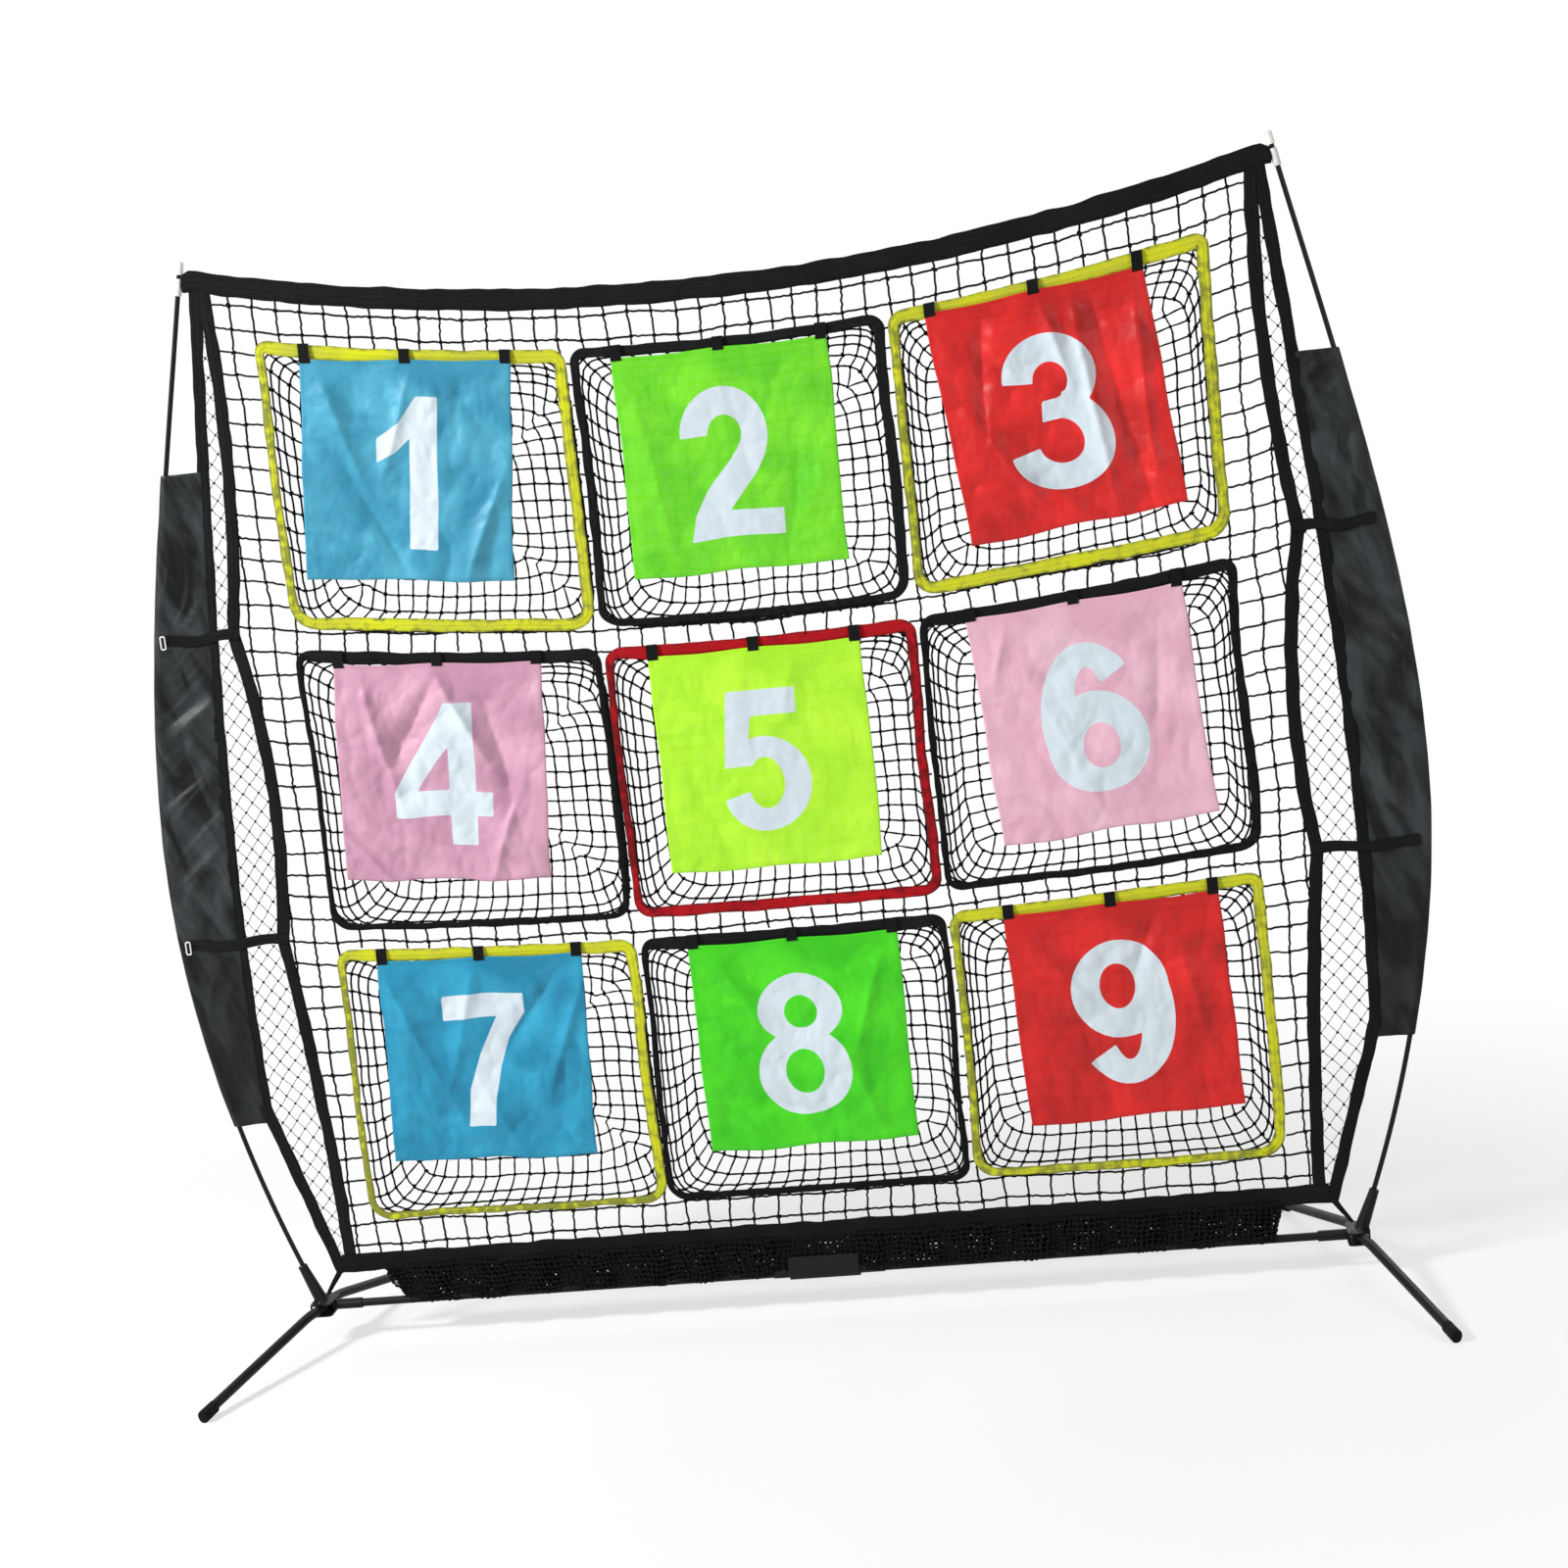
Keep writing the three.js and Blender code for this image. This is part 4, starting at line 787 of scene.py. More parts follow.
def ring_width(number, u, v):
    """The tape's width at a point of the ring, blended from those of its four sides."""
    middle = pocket_middle(number)
    across, along = 2 * (u - middle[0]) / POCKET[0], 2 * (v - middle[1]) / POCKET[1]
    pulls = [max(0, pull) ** 10 for pull in (along, across, -along, -across)]
    total = sum(pull * width for pull, width in zip(pulls, RING_WIDTHS[number]))
    return total / max(sum(pulls), 1e-12)


def pocket_ring(number):
    outline = rounded_outline(pocket_middle(number), (POCKET[0] / 2, POCKET[1] / 2), ring_corners(number))
    widths = [ring_width(number, u, v) for u, v in outline]
    bent = [ring_bend(number, u, v) for u, v in outline]
    path = [(u, TRIM_Y, hung(u, v)) for u, v in bent]
    bm = tape(path, widths, 0.0032, closed=True, wobble=0.0018, seed=number, edge=1)
    piece(f"ring_binding_{number}", bm, *RING_FINISH[RING_TAPE[number]],
          replaces=[f"pocket_ring_{number}"])


for number in NUMBERS:
    pocket_ring(number)
print("rings:", RING_TAPE)

# %% [markdown]
# ## Catch pouches
# Behind each ring hangs a net bag that catches the ball. Five flat grids make an open box in its
# own coordinates, from -1 to 1 each way, and one formula turns the box into a bag: its corners are
# rounded, it narrows towards its end, its back bulges and its floor sags.

# %% Pouches
POUCH_DEPTH = 0.222


def bag_point(number, box):
    across, along, depth = box.x, box.y, min(max((box.z + 1) / 2, 0), 1)
    reach = max(abs(across), abs(along), 1e-6)
    power = 13 - 6 * depth
    rounded = reach / (abs(across) ** power + abs(along) ** power) ** (1 / power)
    across, along = across * rounded, along * rounded
    u, v = pocket_middle(number)
    tape_middle = ring_width(number, u + across * POCKET[0] / 2, v + along * POCKET[1] / 2) / 2
    inset = tape_middle + (0.011 - tape_middle) * depth
    narrow = 1 - 0.12 * depth**2.5
    x = u + across * narrow * (POCKET[0] / 2 - inset)
    flat = v + along * narrow * (POCKET[1] / 2 - inset)
    droop = (0.028 * math.sin(0.75 * math.pi * depth) * (0.5 - 0.5 * along)
             + 0.040 * depth * (0.5 + 0.5 * along))
    back = 0.80 * depth + 0.20 * (1 - reach**4)
    bent = ring_bend(number, x, flat)
    x, flat = x + (bent[0] - x) * (1 - depth), flat + (bent[1] - flat) * (1 - depth)
    return Vector((x, 0.004 + back * POUCH_DEPTH, hung(x, flat) - droop))


def pouch_netting(number):
    across, along, deep = 17, 14, 5
    walls = [(across, along, (0, 0, 1), 0, "X"), (deep, along, (1, 0, 0), 90, "Y"),
             (deep, along, (-1, 0, 0), 90, "Y"), (across, deep, (0, 1, 0), 90, "X"),
             (across, deep, (0, -1, 0), 90, "X")]
    bm = bmesh.new()
    for columns, rows, spot, turn, axis in walls:
        wall = Matrix.Translation(spot) @ Matrix.Rotation(math.radians(turn), 4, axis)
        bmesh.ops.create_grid(bm, x_segments=columns, y_segments=rows, size=1, matrix=wall)
    bmesh.ops.remove_doubles(bm, verts=bm.verts, dist=1e-4)
    for vert in bm.verts:
        drift = wander(vert.co * 0.3, 0.025, number * 5.3)
        if vert.co.z > 0.99:
            vert.co += Vector((drift.x, drift.y, 0))
        elif vert.co.z > -0.99:
            vert.co.z += drift.z
    # A unit of the box is a bit over a quarter of a metre, so a slack of 0.004 is 1.2 mm.
    stands_for = {2: ["catch_pouches_top"], 5: ["catch_pouches_middle"], 8: ["catch_pouches_bottom"]}
    netting(f"pouch_netting_{number}", bm, lambda p: True, lambda p: bag_point(number, p), cord=0.0040,
            knot=0.0095, slack=0.004, seed=number, replaces=stands_for.get(number, ()))


for number in NUMBERS:
    pouch_netting(number)

# %% [markdown]
# ## Numerals
# Each flag carries a plain bold numeral. A numeral is a few shapes in a frame one unit tall: bars as
# polygons, and round strokes as parts of an ellipse with a width. For each point of the cloth the
# distance to the numeral's edge is stored, less than nought inside, and the material draws the
# print from it, sharp at any size.


# %% Shapes of the numerals
def ellipse(middle, radii, start=0, end=360, steps=40):
    turns = np.radians(np.linspace(start, end, steps + 1))
    return [(middle[0] + radii[0] * math.cos(a), middle[1] + radii[1] * math.sin(a)) for a in turns]


def bowl(outer, inner):
    """A closed round stroke: one ellipse inside another, each as (middle, radii)."""
    return [ellipse(*outer)[:-1], ellipse(*inner)[:-1]]


def hook(outer, inner, start, end, inner_start=None):
    """Part of a round stroke, from one angle to another."""
    first = start if inner_start is None else inner_start
    return [ellipse(*outer, start, end) + ellipse(*inner, end, first)]


NINE = [
    bowl(((0.335, 0.666), (0.335, 0.336)), ((0.316, 0.690), (0.1215, 0.152))),
    hook(((0.341, 0.50), (0.35, 0.50)), ((0.341, 0.50), (0.115, 0.33)), 75, -140, 20),
]
NUMERALS = {
    1: [[[(0.32, 1), (0.47, 1), (0.465, 0), (0.275, 0), (0.275, 0.73), (0.17, 0.635),
          (0.048, 0.575), (0.048, 0.735), (0.20, 0.83)]]],
    2: [hook(((0.31, 0.69), (0.30, 0.31)), ((0.31, 0.69), (0.115, 0.125)), 180, -20),
        [[(0.61, 0.66), (0.58, 0.54), (0.515, 0.427), (0.395, 0.28), (0.307, 0.173),
          (0.657, 0.173), (0.657, 0), (0.03, 0), (0.07, 0.16), (0.17, 0.32), (0.315, 0.48),
          (0.39, 0.58), (0.425, 0.66)]]],
    3: [hook(((0.33, 0.7225), (0.2925, 0.2775)), ((0.33, 0.6925), (0.1075, 0.1225)), 178, -80),
        hook(((0.33, 0.3075), (0.33, 0.3075)), ((0.33, 0.304), (0.145, 0.139)), 80, -172),
        [[(0.42, 0.60), (0.355, 0.572), (0.255, 0.572), (0.235, 0.441), (0.355, 0.441),
          (0.42, 0.46)]]],
    4: [[[(0.375, 1), (0.565, 1), (0.565, 0.376), (0.685, 0.376), (0.685, 0.2), (0.565, 0.2),
          (0.565, 0), (0.385, 0), (0.385, 0.2), (0, 0.2), (0, 0.375)],
         [(0.385, 0.376), (0.385, 0.70), (0.165, 0.376)]]],
    5: [[[(0.09, 1), (0.575, 1), (0.575, 0.82), (0.253, 0.82), (0.215, 0.60), (0.25, 0.47),
          (0.162, 0.472), (0.032, 0.472)]],
        hook(((0.318, 0.337), (0.314, 0.337)), ((0.318, 0.340), (0.126, 0.182)), 125, -165)],
    6: [[[(0.69 - x, 1 - y) for x, y in loop] for loop in shape] for shape in NINE],
    7: [[[(0.02, 1), (0.63, 1), (0.63, 0.85), (0.50, 0.66), (0.42, 0.45), (0.37, 0.22), (0.352, 0),
          (0.156, 0), (0.18, 0.28), (0.27, 0.54), (0.418, 0.82), (0.02, 0.82)]]],
    8: [bowl(((0.32, 0.755), (0.291, 0.245)), ((0.32, 0.7275), (0.1125, 0.1185))),
        bowl(((0.32, 0.306), (0.32, 0.306)), ((0.32, 0.310), (0.133, 0.152)))],
    9: NINE,
}


# %% Distance to a numeral's edge
def edge_distance(points, shape):
    """Distance from each point to the edge of a shape, negative inside it."""
    nearest = np.full(len(points), 1e9)
    inside = np.zeros(len(points), bool)
    for loop in shape:
        start = np.array(loop, float)
        for (ax, ay), (bx, by) in zip(start, np.roll(start, -1, axis=0)):
            run = np.array((bx - ax, by - ay))
            share = np.clip(((points - (ax, ay)) @ run) / max(run @ run, 1e-12), 0, 1)
            gap = np.linalg.norm(points - (ax, ay) - share[:, None] * run, axis=1)
            nearest = np.minimum(nearest, gap)
            crosses = (points[:, 1] < ay) != (points[:, 1] < by)
            slope = (bx - ax) * (points[:, 1] - ay) / (by - ay if by != ay else 1) + ax
            inside ^= crosses & (points[:, 0] < slope)
    return np.where(inside, -nearest, nearest)


def print_distance(number, points, lower=0.005):
    """Distance in metres from points of the flat flag, from 0 to 1, to its numeral's edge."""
    corners = np.array([point for shape in NUMERALS[number] for loop in shape for point in loop])
    middle = (corners.min(0) + corners.max(0)) / 2
    length, height = FLAGS[number][:2]
    drawn = ((points - 0.5) * (FLAG_WIDTH, length) + (0, lower)) / height + middle
    return np.min([edge_distance(drawn, shape) for shape in NUMERALS[number]], axis=0) * height


# %% [markdown]
# ## Flags
# A flag is a single layer of nylon, held at its top edge by three hook-and-loop tabs. It was packed
# folded, so it keeps soft folds that run down from its tabs and a net of sharp creases. A cloth
# simulation gives a clean new drape; creases from packing are drawn here as ridges: each has a line,
# a width and a height that fades towards its ends. Finer crumples come from the same trick as in the
# material: the distance of a random field from its middle value.

# %% Folds: place from the top edge's middle (mm), angle (degrees), then length, width and height (mm)
FOLDS = {
    1: [(-130, -120, -68, 200, 22, 8), (-60, -300, -60, 160, 15, -7), (-20, -120, -105, 130, 15, 6),
        (150, -320, -110, 150, 17, 8), (100, -90, -95, 100, 20, -4)],
    2: [(-150, -200, -80, 200, 26, 4), (120, -260, -100, 160, 24, -4)],
    3: [(70, -200, -88, 260, 14, 9), (118, -200, -84, 260, 13, -8), (20, -80, -80, 120, 12, 7),
        (-100, -300, -60, 140, 18, 7), (-120, -120, -100, 150, 14, -7), (168, -200, -94, 220, 12, 7),
        (-20, -360, -35, 110, 16, -5)],
    4: [(-120, -140, -75, 200, 16, 8), (-50, -100, -120, 150, 16, -7), (30, -80, -60, 160, 14, 8),
        (120, -200, -75, 170, 16, -7), (-100, -340, -25, 140, 15, 7), (120, -340, -110, 140, 13, 7),
        (-150, -380, -45, 90, 10, 6)],
    5: [(60, -60, -100, 90, 22, 3), (-120, -300, -70, 160, 26, -3)],
    6: [(-150, -60, -110, 80, 10, 4), (-60, -250, -70, 200, 22, 4), (130, -180, -100, 200, 20, -4)],
    7: [(-140, -140, -65, 210, 20, 8), (-40, -120, -105, 150, 18, 6), (100, -100, -125, 150, 16, -7),
        (20, -320, -62, 150, 18, 6), (165, -150, -110, 170, 15, 7)],
    8: [(-120, -80, -60, 120, 20, 5), (140, -120, -110, 150, 18, 5), (-40, -330, -20, 140, 20, -5),
        (120, -320, -70, 120, 18, 5)],
    9: [(-120, -100, -55, 130, 18, 6), (60, -70, -115, 110, 14, -6), (140, -200, -80, 200, 16, 6),
        (-60, -320, -75, 160, 18, -6)],
}


def fold_height(x, z, fold):
    """Height of one fold, in metres, at a point of the flag."""
    fx, fz, angle, length, width, height = fold
    turn = math.radians(angle)
    dx, dz = 1000 * x - fx, 1000 * z - fz
    along = dx * math.cos(turn) + dz * math.sin(turn)
    aside = dz * math.cos(turn) - dx * math.sin(turn)
    fade = max(0.0, 1 - (along / length) ** 2)
    return 1.6 * height / 1000 * fade * math.exp(-((abs(aside) / width) ** 1.3))


def crumpled(spot, seed):
    """Facets and creases of packed cloth at a point, in metres."""
    q = spot + noise.noise_vector(spot * 4 + Vector((seed, 0, 0))) * 0.035
    q = Vector((q.x, 0.75 * q.y, 0))
    total = noise.noise(q * 6 + Vector((0, 0, seed))) * 0.010
    for scale, height in ((11, 0.011), (23, 0.0055), (48, 0.0022)):
        total += (abs(noise.noise(q * scale + Vector((seed * 1.7, 0, seed)))) - 0.25) * height
    return total


# %% Flags
HINGES = {joint["child"]: joint for joint in frame["joints"]}


def hinge_of(number):
    """The middle of a flag's hinge, and the direction along it."""
    hinge = HINGES[f"flag_{number}"]
    return Vector(hinge["pos_m"]), Vector(hinge["axis"]).normalized()


def number_flag(number):
    pivot, axis = hinge_of(number)
    down = Vector((axis.z, 0, -axis.x))
    shift = Vector((number * 7.1, 0, 0))
    length, _, crumpling, slot, *_ = FLAGS[number]

    def place(s, t):
        x, drop = (s - 0.5) * FLAG_WIDTH, (1 - t) * length - 0.004
        spot = Vector((x, drop, 0))
        loose = min(1.0, max(drop, 0) / 0.06)
        swag = 0.003 * math.sin(2 * math.pi * s) ** 2
        lift = crumpled(spot, number * 3.1) * crumpling
        lift += sum(fold_height(x, -drop, fold) for fold in FOLDS[number])
        sway = noise.noise_vector(spot * 7 + shift) * 0.005 * loose
        return pivot + axis * (x + sway.x) + down * (drop + swag + sway.y) + Vector((0, -lift * loose, 0))

    bm = grid_of(100, 104)
    distances = print_distance(number, np.array([vert.co[:2] for vert in bm.verts]))
    store = bm.verts.layers.float.new("print_distance")
    for vert, distance in zip(bm.verts, distances):
        vert[store] = distance
    size = (FLAG_WIDTH, length)
    flag = piece(f"flag_cloth_{number}", lay(bm, place, size), FLAG_CLOTH[number], slot,
                 body=f"flag_{number}", replaces=[f"number_flag_{number}"], crease=180)
    cut_from(flag, 0.0004, flat=size, held="hung", rests_on=[f"ring_binding_{number}"])


for number in NUMBERS:
    number_flag(number)
print("flags:", len(NUMBERS))

# %% [markdown]
# ## Tabs
# Three loops of black hook-and-loop tape go round the ring's top edge and close on the flag's. They
# are short strips bent over the ring, with a real thickness.


# %% Tabs
def flag_tabs(number):
    pivot, axis = hinge_of(number)
    lean = math.atan2(axis.z, axis.x)
    joined = bmesh.new()
    for place in (-1, 0, 1):
        spot = pivot + axis * place * (FLAG_WIDTH - 0.020) / 2
        top = hung(spot.x, pocket_middle(number)[1] + POCKET[1] / 2) + 0.0015
        lap = 0.001 if RING_TAPE[number] == "black" else 0.002
        profile = [(spot.z - lap, -0.0103), (spot.z + 0.002, -0.0106), (spot.z + 0.008, -0.0098),
                   (top - 0.003, -0.0078), (top - 0.0006, -0.0062), (top, -0.0045),
                   (top - 0.001, -0.0012)]
        strip = grid_of(6, len(profile) - 1)
        for vert in strip.verts:
            z, y = profile[round(vert.co.y * (len(profile) - 1))]
            aside = (vert.co.x - 0.5) * 0.021
            vert.co = Vector((spot.x + aside * math.cos(lean), y, z + aside * math.sin(lean)))
        bmesh.ops.solidify(strip, geom=strip.faces[:], thickness=0.0012)
        bmesh.ops.recalc_face_normals(strip, faces=strip.faces)
        made = bpy.data.meshes.new("tab")
        strip.to_mesh(made)
        strip.free()
        joined.from_mesh(made)
        bpy.data.meshes.remove(made)
    piece(f"flag_tabs_{number}", joined, WEBBING, "webbing_black", crease=40)


for number in NUMBERS:
    flag_tabs(number)

# %% [markdown]
# ## Bands, webbing and straps
# Folded webbing runs along every edge of the net. The top band sags between the pole tips, the side
# webbings bow inwards between their straps, and the straps run out over the sleeves to the poles.


# %% Bands
def webbing(name, path, width, thickness, wobble, seed, replaces=()):
    bm = tape(path, width, thickness, wobble=wobble, seed=seed)
    piece(name, bm, WEBBING, "webbing_black", replaces=replaces)


def top_band():
    middle, full = (BAND_UNDERSIDE + TOP_EDGE) / 2, TOP_EDGE - BAND_UNDERSIDE
    path, widths = [], []
    for u in np.linspace(-1.033, 1.033, 206):
        neck = min(max((abs(u) - 1.012) / 0.020, 0), 1)  # it narrows into the loops at its ends
        path.append((u, TRIM_Y, hung(u, middle) - 0.010 * neck))
        widths.append(full - 0.011 * neck)
    webbing("top_band_cloth", path, widths, 0.0056, 0.0022, 21, replaces=["top_band"])


def bottom_band():
    path = [(u, TRIM_Y, (BOTTOM_EDGE + NET_FOOT) / 2) for u in np.linspace(-0.980, 0.980, 180)]
    webbing("bottom_band_cloth", path, NET_FOOT - BOTTOM_EDGE, 0.0050, 0.0026, 22,
            replaces=["bottom_band"])


def pole_loop(side, name):
    """The loop at the top band's end that slips over the pole, below its cap."""
    path = [(side * x_at(POLE_LINE, z), 0, z) for z in np.linspace(2.095, 2.127, 9)]
    piece(f"pole_loop_{name}", rod(path, 0.0072, chamfer=0.001), PALE, "webbing_black")


top_band()
bottom_band()
for side, name in SIDES:
    pole_loop(side, name)


# %% Side webbings, straps and tethers
def side_webbing(side, name):
    heights = np.linspace(NET_FOOT, BAND_UNDERSIDE + 0.010, 142)
    path = [(side * x_at(WEBBING_LINE, z), TRIM_Y, z - 0.014 * (z / BAND_UNDERSIDE) ** 8)
            for z in heights]
    webbing(f"webbing_{name}", path, 0.025, 0.0040, 0.0020, 23 + side,
            replaces=[f"side_webbing_{name}"])


def sleeve_face(x, z):
    """How far forward the sleeve lies between the hem and the pole, where it is pulled flat."""
    hem_x, pole_x = x_at(HEM_LINE, z) - 0.004, x_at(POLE_LINE, z)
    return TRIM_Y - CHANNEL_RADIUS * min(max((x - hem_x) / (pole_x - hem_x), 0), 1) ** 3


def side_strap(side, name, index):
    height = STRAP_HEIGHTS[index]
    start, end = x_at(WEBBING_LINE, height) - 0.012, x_at(POLE_LINE, height) - 0.014
    path = []
    for x in np.linspace(start, end, 40):
        share = (x - start) / (end - start)
        wave = 0.004 * math.sin(2.5 * math.pi * share)
        path.append((side * x, sleeve_face(x, height) - 0.0032, height + wave))
    webbing(f"strap_{name}_{index + 1}", path, 0.021, 0.0030, 0.0014, 31 + index * 2 + side)


def tether(side, name):
    """The short strap from the net's bottom corner to the root of the pole's socket."""
    path = [(side * x, TRIM_Y, z) for x, z in np.linspace((0.982, 0.152), (1.0185, 0.0995), 16)]
    widths = [0.013 - 0.006 * share for share in np.linspace(0, 1, 16)]
    webbing(f"tether_{name}", path, widths, 0.0028, 0.0008, 51 + side)


def strap_loop(index):
    """The small white loop that ends each of the left straps on its pole."""
    height = STRAP_HEIGHTS[index]
    x = x_at(POLE_LINE, height) - 0.013
    outline = rounded_outline((-x, height), (0.0045, 0.0125), (0.003, 0.003), step=0.004)
    path = [(u, -0.0142, v) for u, v in outline]
    bm = sweep(path, lambda i, turn, spot: (0.0014 * math.cos(turn), 0.0014 * math.sin(turn)), True, 10)
    piece(f"strap_loop_{index + 1}", bm, CAP, "cap_white")


for side, name in SIDES:
    side_webbing(side, name)
    tether(side, name)
    for index in (0, 1):
        side_strap(side, name, index)
for index in (0, 1):
    strap_loop(index)

# %% [markdown]
# ## Sleeves
# Each pole runs through a sleeve of coated cloth that is sewn to the net's hem. The cloth is pulled
# tight in some places and slack in others, so it creases along the pull. One grid makes it: flat
# from the hem outwards, and rolled once round the pole. Its creases are drawn with the same random
# field as the flags', stretched along the sleeve.

# %% Sleeves
SLEEVE_FOOT, SLEEVE_TOP = 0.460, 1.759
SLEEVE_FLAT = 0.68  # the share of the cloth's width that lies flat


def pulled_creases(x, z, seed):
    """Creases of slack cloth, long along the pole and leaning towards the straps."""
    lean = 0.35 * math.sin(3.1 * z + seed)
    q = Vector((x + lean * z, z, 0))
    q += noise.noise_vector(q * 5 + Vector((seed, 0, 0))) * 0.05
    total = 0.0
    for across, along, height in ((9, 1.8, 1.0), (19, 4.5, 0.55), (40, 12, 0.2)):
        total += (0.28 - abs(noise.noise(Vector((q.x * across, q.y * along, seed * 1.9))))) * height
    return total


def pole_sleeve(side, name):
    def place(s, t):
        z = SLEEVE_FOOT + (SLEEVE_TOP - SLEEVE_FOOT) * t
        hem, pole = x_at(HEM_LINE, z) - 0.004, x_at(POLE_LINE, z)
        if s < SLEEVE_FLAT:
            share = s / SLEEVE_FLAT
            x = hem + (pole - hem) * share
            pressed = min(abs(z - height) for height in STRAP_HEIGHTS) / 0.03
            slack = math.sin(math.pi * min(share, 1)) ** 0.6 * (1 - math.exp(-(pressed**2)))
            y = sleeve_face(x, z) - 0.020 * slack * pulled_creases(x, z, 3.3 * side)
            return Vector((side * x, y, z))
        turn = 2 * math.pi * (s - SLEEVE_FLAT) / (1 - SLEEVE_FLAT) * 0.93
        radius = CHANNEL_RADIUS * (1 + 0.10 * noise.noise(Vector((s * 4, z * 14, side))))
        return Vector((side * (pole + radius * math.sin(turn)), -radius * math.cos(turn), z))

    bm = lay(grid_of(44, 300), place, (0.19, SLEEVE_TOP - SLEEVE_FOOT))
    area = sum(face.calc_area() for face in bm.faces)
    sleeve = piece(f"sleeve_{name}", bm, OXFORD, "sleeve_cloth", replaces=[f"pole_sleeve_{name}"],
                   crease=180)
    cut_from(sleeve, 0.0008, flat=(0.20, SLEEVE_TOP - SLEEVE_FOOT), held="stretched",
             area=area * 0.99, rests_on=[f"pole_middle_{name}"])
    print(f"sleeve {name}: {area:.3f} square metres of cloth")


def hem(side, name):
    """The folded edge of the side net, from the top corner to the tether at the bottom."""
    heights = np.linspace(BOTTOM_EDGE, BAND_UNDERSIDE + 0.010, 152)
    path = [(side * (x_at(HEM_LINE, z) - 0.008), TRIM_Y + 0.001, z) for z in heights]
    webbing(f"hem_{name}", path, 0.024, 0.0036, 0.0018, 41 + side)


for side, name in SIDES:
    pole_sleeve(side, name)
    hem(side, name)


# %% Side nets
def side_netting(side, name):
    """Fine diamond mesh between the webbing and the hem."""
    cells, wide, tall = 66, 0.030, 0.036
    bm = grid_of(cells, cells)
    for vert in bm.verts:
        i, j = vert.co.x * cells, vert.co.y * cells
        x, z = 1.035 + (i - j) * wide / 2, NET_FOOT - 0.08 + (i + j) * tall / 2
        drift = wander((x, z, 0), 0.005, 8 + side)
        vert.co = Vector((x + drift.x, z + drift.z, 0.0016))

    def keep(p):
        if not NET_FOOT - 0.02 < p.y < BAND_UNDERSIDE - 0.020:
            return False
        return x_at(WEBBING_LINE, p.y) < p.x < x_at(HEM_LINE, p.y) - 0.006

    netting(f"side_netting_{name}", bm, keep, lambda p: Vector((side * p.x, p.z, p.y)), cord=0.0013,
            knot=0.0058, slack=0.001, sides=4, seed=50 + side, replaces=[f"side_net_{name}"])


for side, name in SIDES:
    side_netting(side, name)

# %% [markdown]
# ## Skirt and patch
# Below the bottom band the net goes on as a gathered skirt that wraps the bar. So much of it is
# bunched together that it looks nearly solid, with rows of small holes. Five waving layers of narrow
# cells give that. A patch of loop tape closes round the bar's middle and keeps the skirt down.


# %% Skirt
def skirt_netting(layer):
    low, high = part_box("net_skirt")
    offset = (layer - 2) * 0.0048
    foot = 0.086 - 0.006 * abs(layer - 2)

    def ripple(p):
        drift = wander((p.x * 3, p.y * 3, layer), 0.012, 60 + layer)
        wave = 0.0045 * math.sin(p.x * 58 + layer * 2.2)
        pressed = 1 - 0.8 * math.exp(-((p.x / 0.085) ** 4))  # under the patch
        y = (offset + wave + drift.y * 0.3 + p.z) * pressed
        return Vector((p.x + drift.x, y, p.y + drift.z * 0.4))

    bm = grid_of(165, 7)
    for vert in bm.verts:
        flare = 1 + (0.045 if vert.co.x < 0.5 else 0.012) * (vert.co.y - 0.6)
        x = (low.x + (high.x - low.x) * vert.co.x) * flare
        vert.co = Vector((x, foot + (high.z + 0.006 - foot) * vert.co.y, 0))
    netting(f"skirt_netting_{layer + 1}", bm, lambda p: True, ripple, cord=0.0042, knot=0.0086,
            slack=0.002, sides=4, seed=61 + layer, replaces=["net_skirt"] if layer == 0 else [])


for layer in range(5):
    skirt_netting(layer)


# %% Patch
BAR_HEIGHT = 0.075
WRAP_RADIUS = 0.0126


def bar_patch():
    low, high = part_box("bar_wrap")
    line = [(-0.0092, 0.108), (-0.0098, 0.100), (-0.0114, 0.088)]
    for turn in np.radians(np.linspace(160, 488, 34)):
        tight = WRAP_RADIUS - 0.0016 * max(0, (math.degrees(turn) - 400) / 88)
        line.append((tight * math.cos(turn), BAR_HEIGHT + tight * math.sin(turn)))
    runs = np.concatenate([[0], np.cumsum([math.dist(a, b) for a, b in zip(line, line[1:])])])
    size = (high.x - low.x, float(runs[-1]))

    def place(s, t):
        run = t * runs[-1]
        y, z = (float(np.interp(run, runs, [point[axis] for point in line])) for axis in (0, 1))
        x = low.x + (high.x - low.x) * s
        soft = noise.noise(Vector((x * 40, run * 40, 3))) * 0.0012
        return Vector((x + soft, y - soft * (t < 0.4), z))

    bm = lay(grid_of(40, 70), place, size)
    patch = piece("bar_patch", bm, PATCH, "patch_grey", replaces=["bar_wrap"], crease=180)
    cut_from(patch, 0.0014, flat=size, held="folded", rests_on=["bar_coupler"])


bar_patch()

# %% [markdown]
# ## Poles
# A pole is three rods of fibreglass, each glued into a ferrule that takes the next one. A rod is one
# round skin along the bowed line, and the ferrule is where its radius steps up.

# %% Poles
POLE_RADIUS, FERRULE_RADIUS, FERRULE_HALF = 0.00475, 0.00625, 0.030


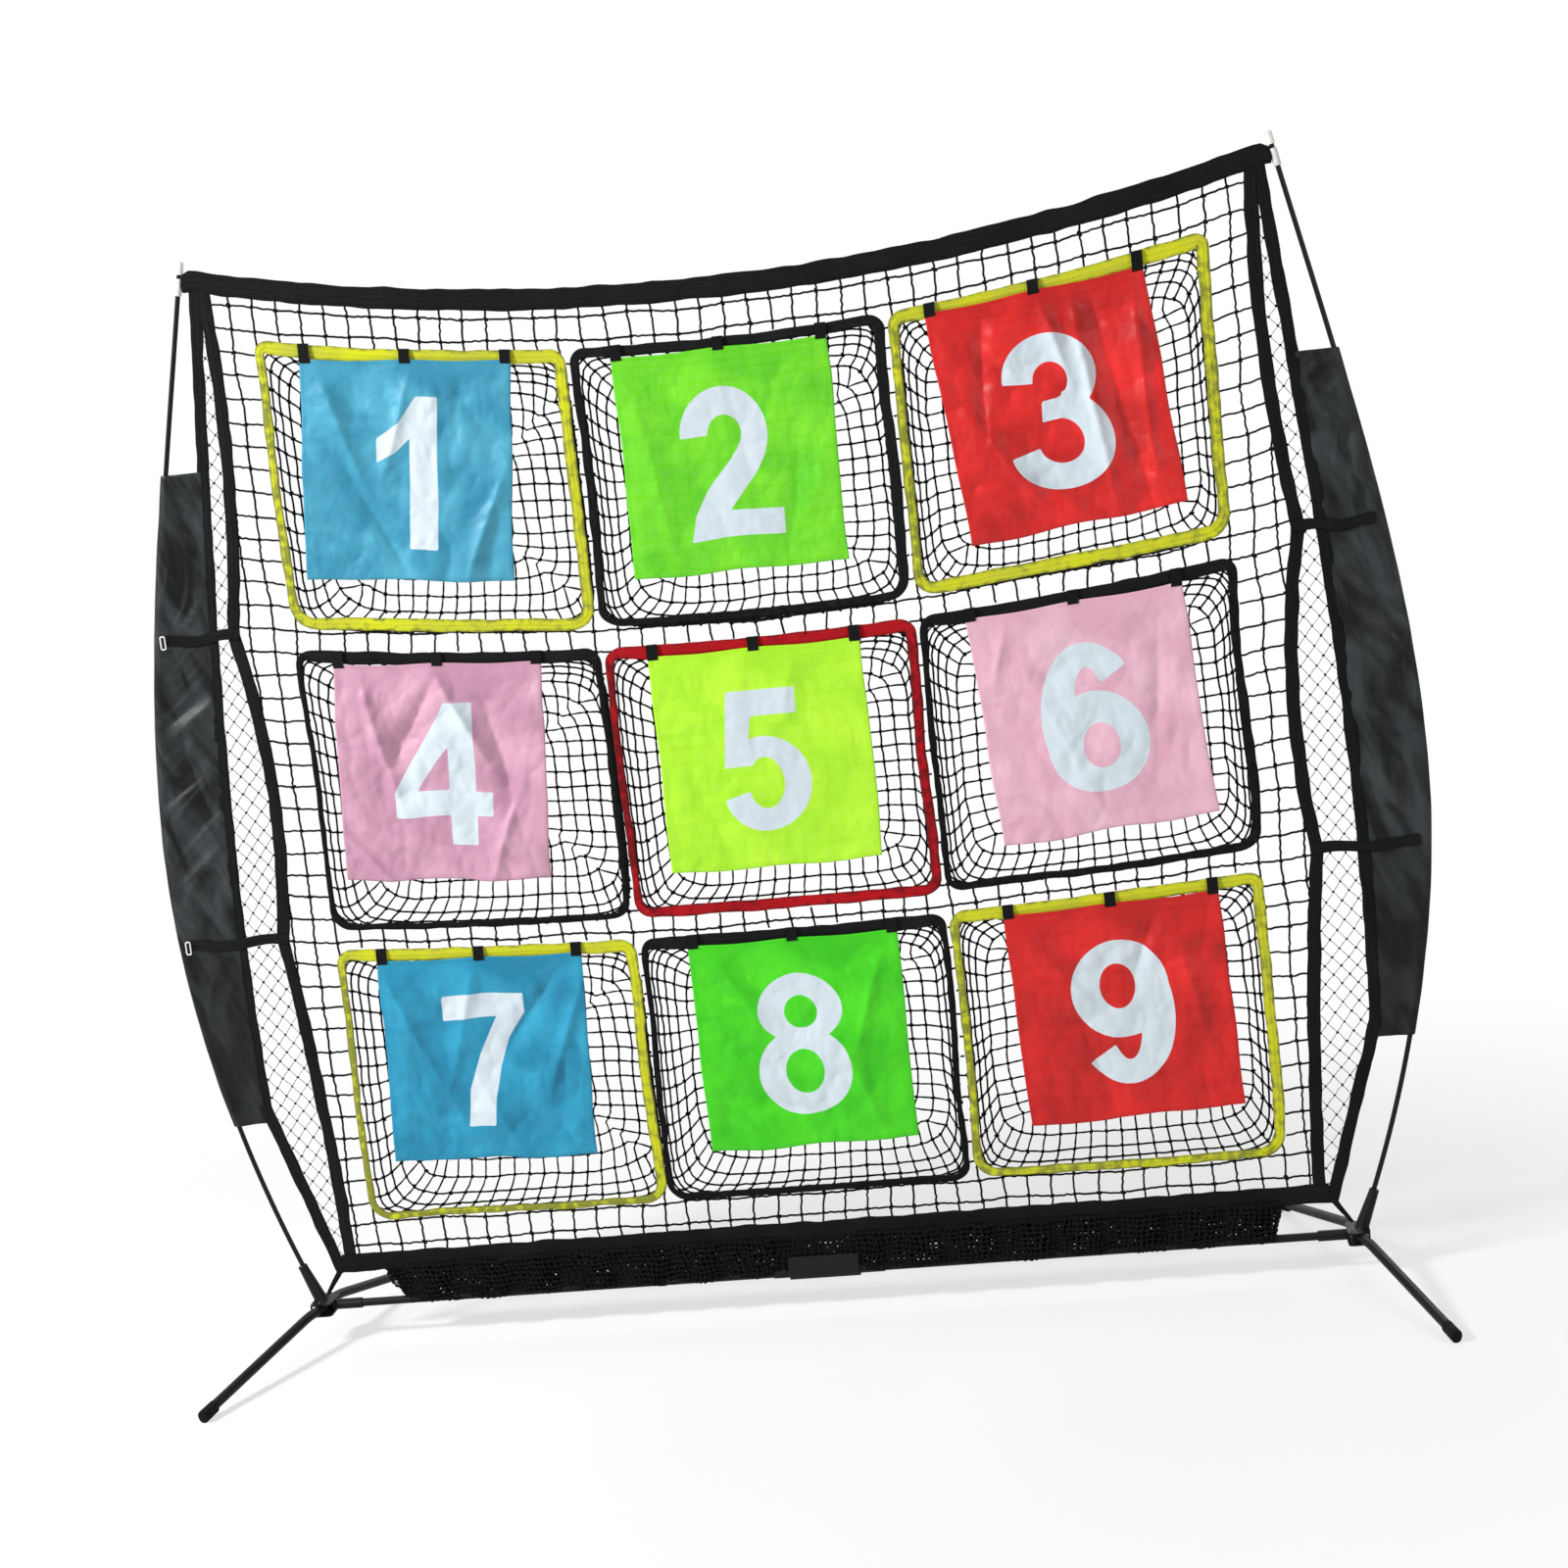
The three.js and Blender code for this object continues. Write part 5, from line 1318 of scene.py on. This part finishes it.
def pole_section(side, name, part, low, high):
    """One rod of the pole, from one height to another, with the ferrule at its upper end."""
    heights = [z for z in POLE_LINE[:, 1] if low + 0.002 < z < high - 0.032]
    radii = [POLE_RADIUS] * (len(heights) + 1)
    heights = [low, *heights]
    if part == "upper":
        heights, radii = [*heights, high], [*radii, POLE_RADIUS]
    else:
        start = high - FERRULE_HALF
        heights += [start - 0.0002, start, start + 0.0006, high]
        radii += [POLE_RADIUS, FERRULE_RADIUS - 0.0005, FERRULE_RADIUS, FERRULE_RADIUS]
    path = [(side * x_at(POLE_LINE, z), 0, z) for z in heights]
    piece(f"rod_{part}_{name}", rod(path, radii), ROD, "fibreglass_black",
          replaces=[f"pole_{part}_{name}"], crease=35)


for side, name in SIDES:
    splits = [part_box(f"pole_{part}_{name}")[1].z for part in ("lower", "middle")]
    feet = [split - 2 * FERRULE_HALF + 0.0005 for split in splits]
    pole_section(side, name, "lower", POLE_FOOT, splits[0])
    pole_section(side, name, "middle", feet[0] + FERRULE_HALF, splits[1])
    pole_section(side, name, "upper", feet[1] + FERRULE_HALF, 2.1565)

# %% [markdown]
# ## Base bar and legs
# These are powder-coated steel tubes: 16 mm for the bar, 19 mm for the legs, which are bent just
# outside the hub so that they reach the floor.

# %% Base bar
for side, name in SIDES:
    path = [(side * x, 0, BAR_HEIGHT) for x in (0.0014, 0.25, 1.0105)]
    piece(f"bar_{name}", rod(path, 0.008, sides=32), STEEL, "tube_steel_black",
          replaces=[f"base_bar_{name}"], crease=35)

# %% Legs
LEG_REACH, LEG_BEND, LEG_TIP = 0.405, 0.044, 0.0145
LEG_FALL = (BAR_HEIGHT - LEG_TIP) / (LEG_REACH - LEG_BEND)
LEG_TURN = math.radians(18)


def leg_way(side, end):
    """The level direction of a leg: side is 1 on the right, end is -1 in front and 1 behind."""
    return Vector((-side * end * math.sin(LEG_TURN), end * math.cos(LEG_TURN), 0))


def leg_spot(side, end, distance):
    """A point of a leg's straight part, so far from its rivet."""
    rivet = Vector((side * HUB_X, end * 0.024, BAR_HEIGHT - LEG_FALL * (distance - LEG_BEND)))
    return rivet + leg_way(side, end) * distance


def leg(side, end, name):
    path = []
    for distance in (-0.010, 0.0, 0.026):
        spot = leg_spot(side, end, distance)
        path.append(Vector((spot.x, spot.y, BAR_HEIGHT)))
    for t in np.linspace(0, 1, 8):
        distance = (1 - t) ** 2 * 0.028 + 2 * (1 - t) * t * LEG_BEND + t**2 * (LEG_BEND + 0.016)
        spot = leg_spot(side, end, distance)
        path.append(Vector((spot.x, spot.y, BAR_HEIGHT - t**2 * 0.016 * LEG_FALL)))
    path += [leg_spot(side, end, 0.2), leg_spot(side, end, LEG_REACH)]
    square = leg_way(side, end).cross(Vector((0, 0, 1))).normalized()
    piece(f"tube_{name}", rod(path, 0.0095, sides=28, normal=square), STEEL, "tube_steel_black",
          body=f"{name}_leg", replaces=[f"leg_{name}"], crease=35)


def rubber_foot(side, end, name):
    """A dipped foot: two grip rings round the tube, a blunt nose, and a sole pressed flat."""
    tip = leg_spot(side, end, LEG_REACH)
    along = (tip - leg_spot(side, end, LEG_REACH - 0.034)).normalized()
    square = leg_way(side, end).cross(Vector((0, 0, 1))).normalized()
    profile = [(-34, 10.0), (-33, 10.6), (-27, 10.7), (-26.4, 10.2), (-25, 10.2), (-24.4, 10.7),
               (-20, 10.8), (-19.4, 10.3), (-18, 10.3), (-17.4, 10.8), (-2, 11.0), (5, 10.9),
               (7.2, 10.2), (8, 9.0)]  # place along the leg and radius, in mm
    bm = rod([tip + along * run / 1000 for run, radius in profile],
             [radius / 1000 for run, radius in profile], normal=square, chamfer=0.0003)
    for vert in bm.verts:
        axis_height = tip.z + along.z * (vert.co - tip).dot(along)
        if vert.co.z < axis_height:
            vert.co.z = max(0.0, axis_height - (axis_height - vert.co.z) * 1.4)
    piece(f"rubber_foot_{name}", bm, RUBBER, "rubber_black", body=f"{name}_leg",
          replaces=[f"foot_{name}"], crease=40)


for side, name in SIDES:
    for end, place in ((-1, "front"), (1, "rear")):
        leg(side, end, f"{place}_{name}")
        rubber_foot(side, end, f"{place}_{name}")

# %% [markdown]
# ## Pieces that keep the frame's shape
# Hubs, coupler, rivets, buttons and caps are right as they come from the frame. They only get their
# real materials.

# %% Finishes of the frame's own pieces
FINISHES = {"bar_coupler": STEEL, "hub": STEEL, "leg_rivet": RIVET, "snap_button": ZINC,
            "pole_tip_cap": CAP}
for name, node in frame["nodes"].items():
    found = [finish for start, finish in FINISHES.items() if name.startswith(start)]
    if found:
        node.data.materials.clear()
        node.data.materials.append(found[0])

# %% [markdown]
# ## Size
# Both boxes, the frame's and the visual model's, are printed, so that they can be compared.

# %% Finish
made_box = [list(corner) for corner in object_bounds()]
for what, box in (("frame", cad_box), ("visual", made_box)):
    print(what, [round(high - low, 3) for low, high in zip(*box)])
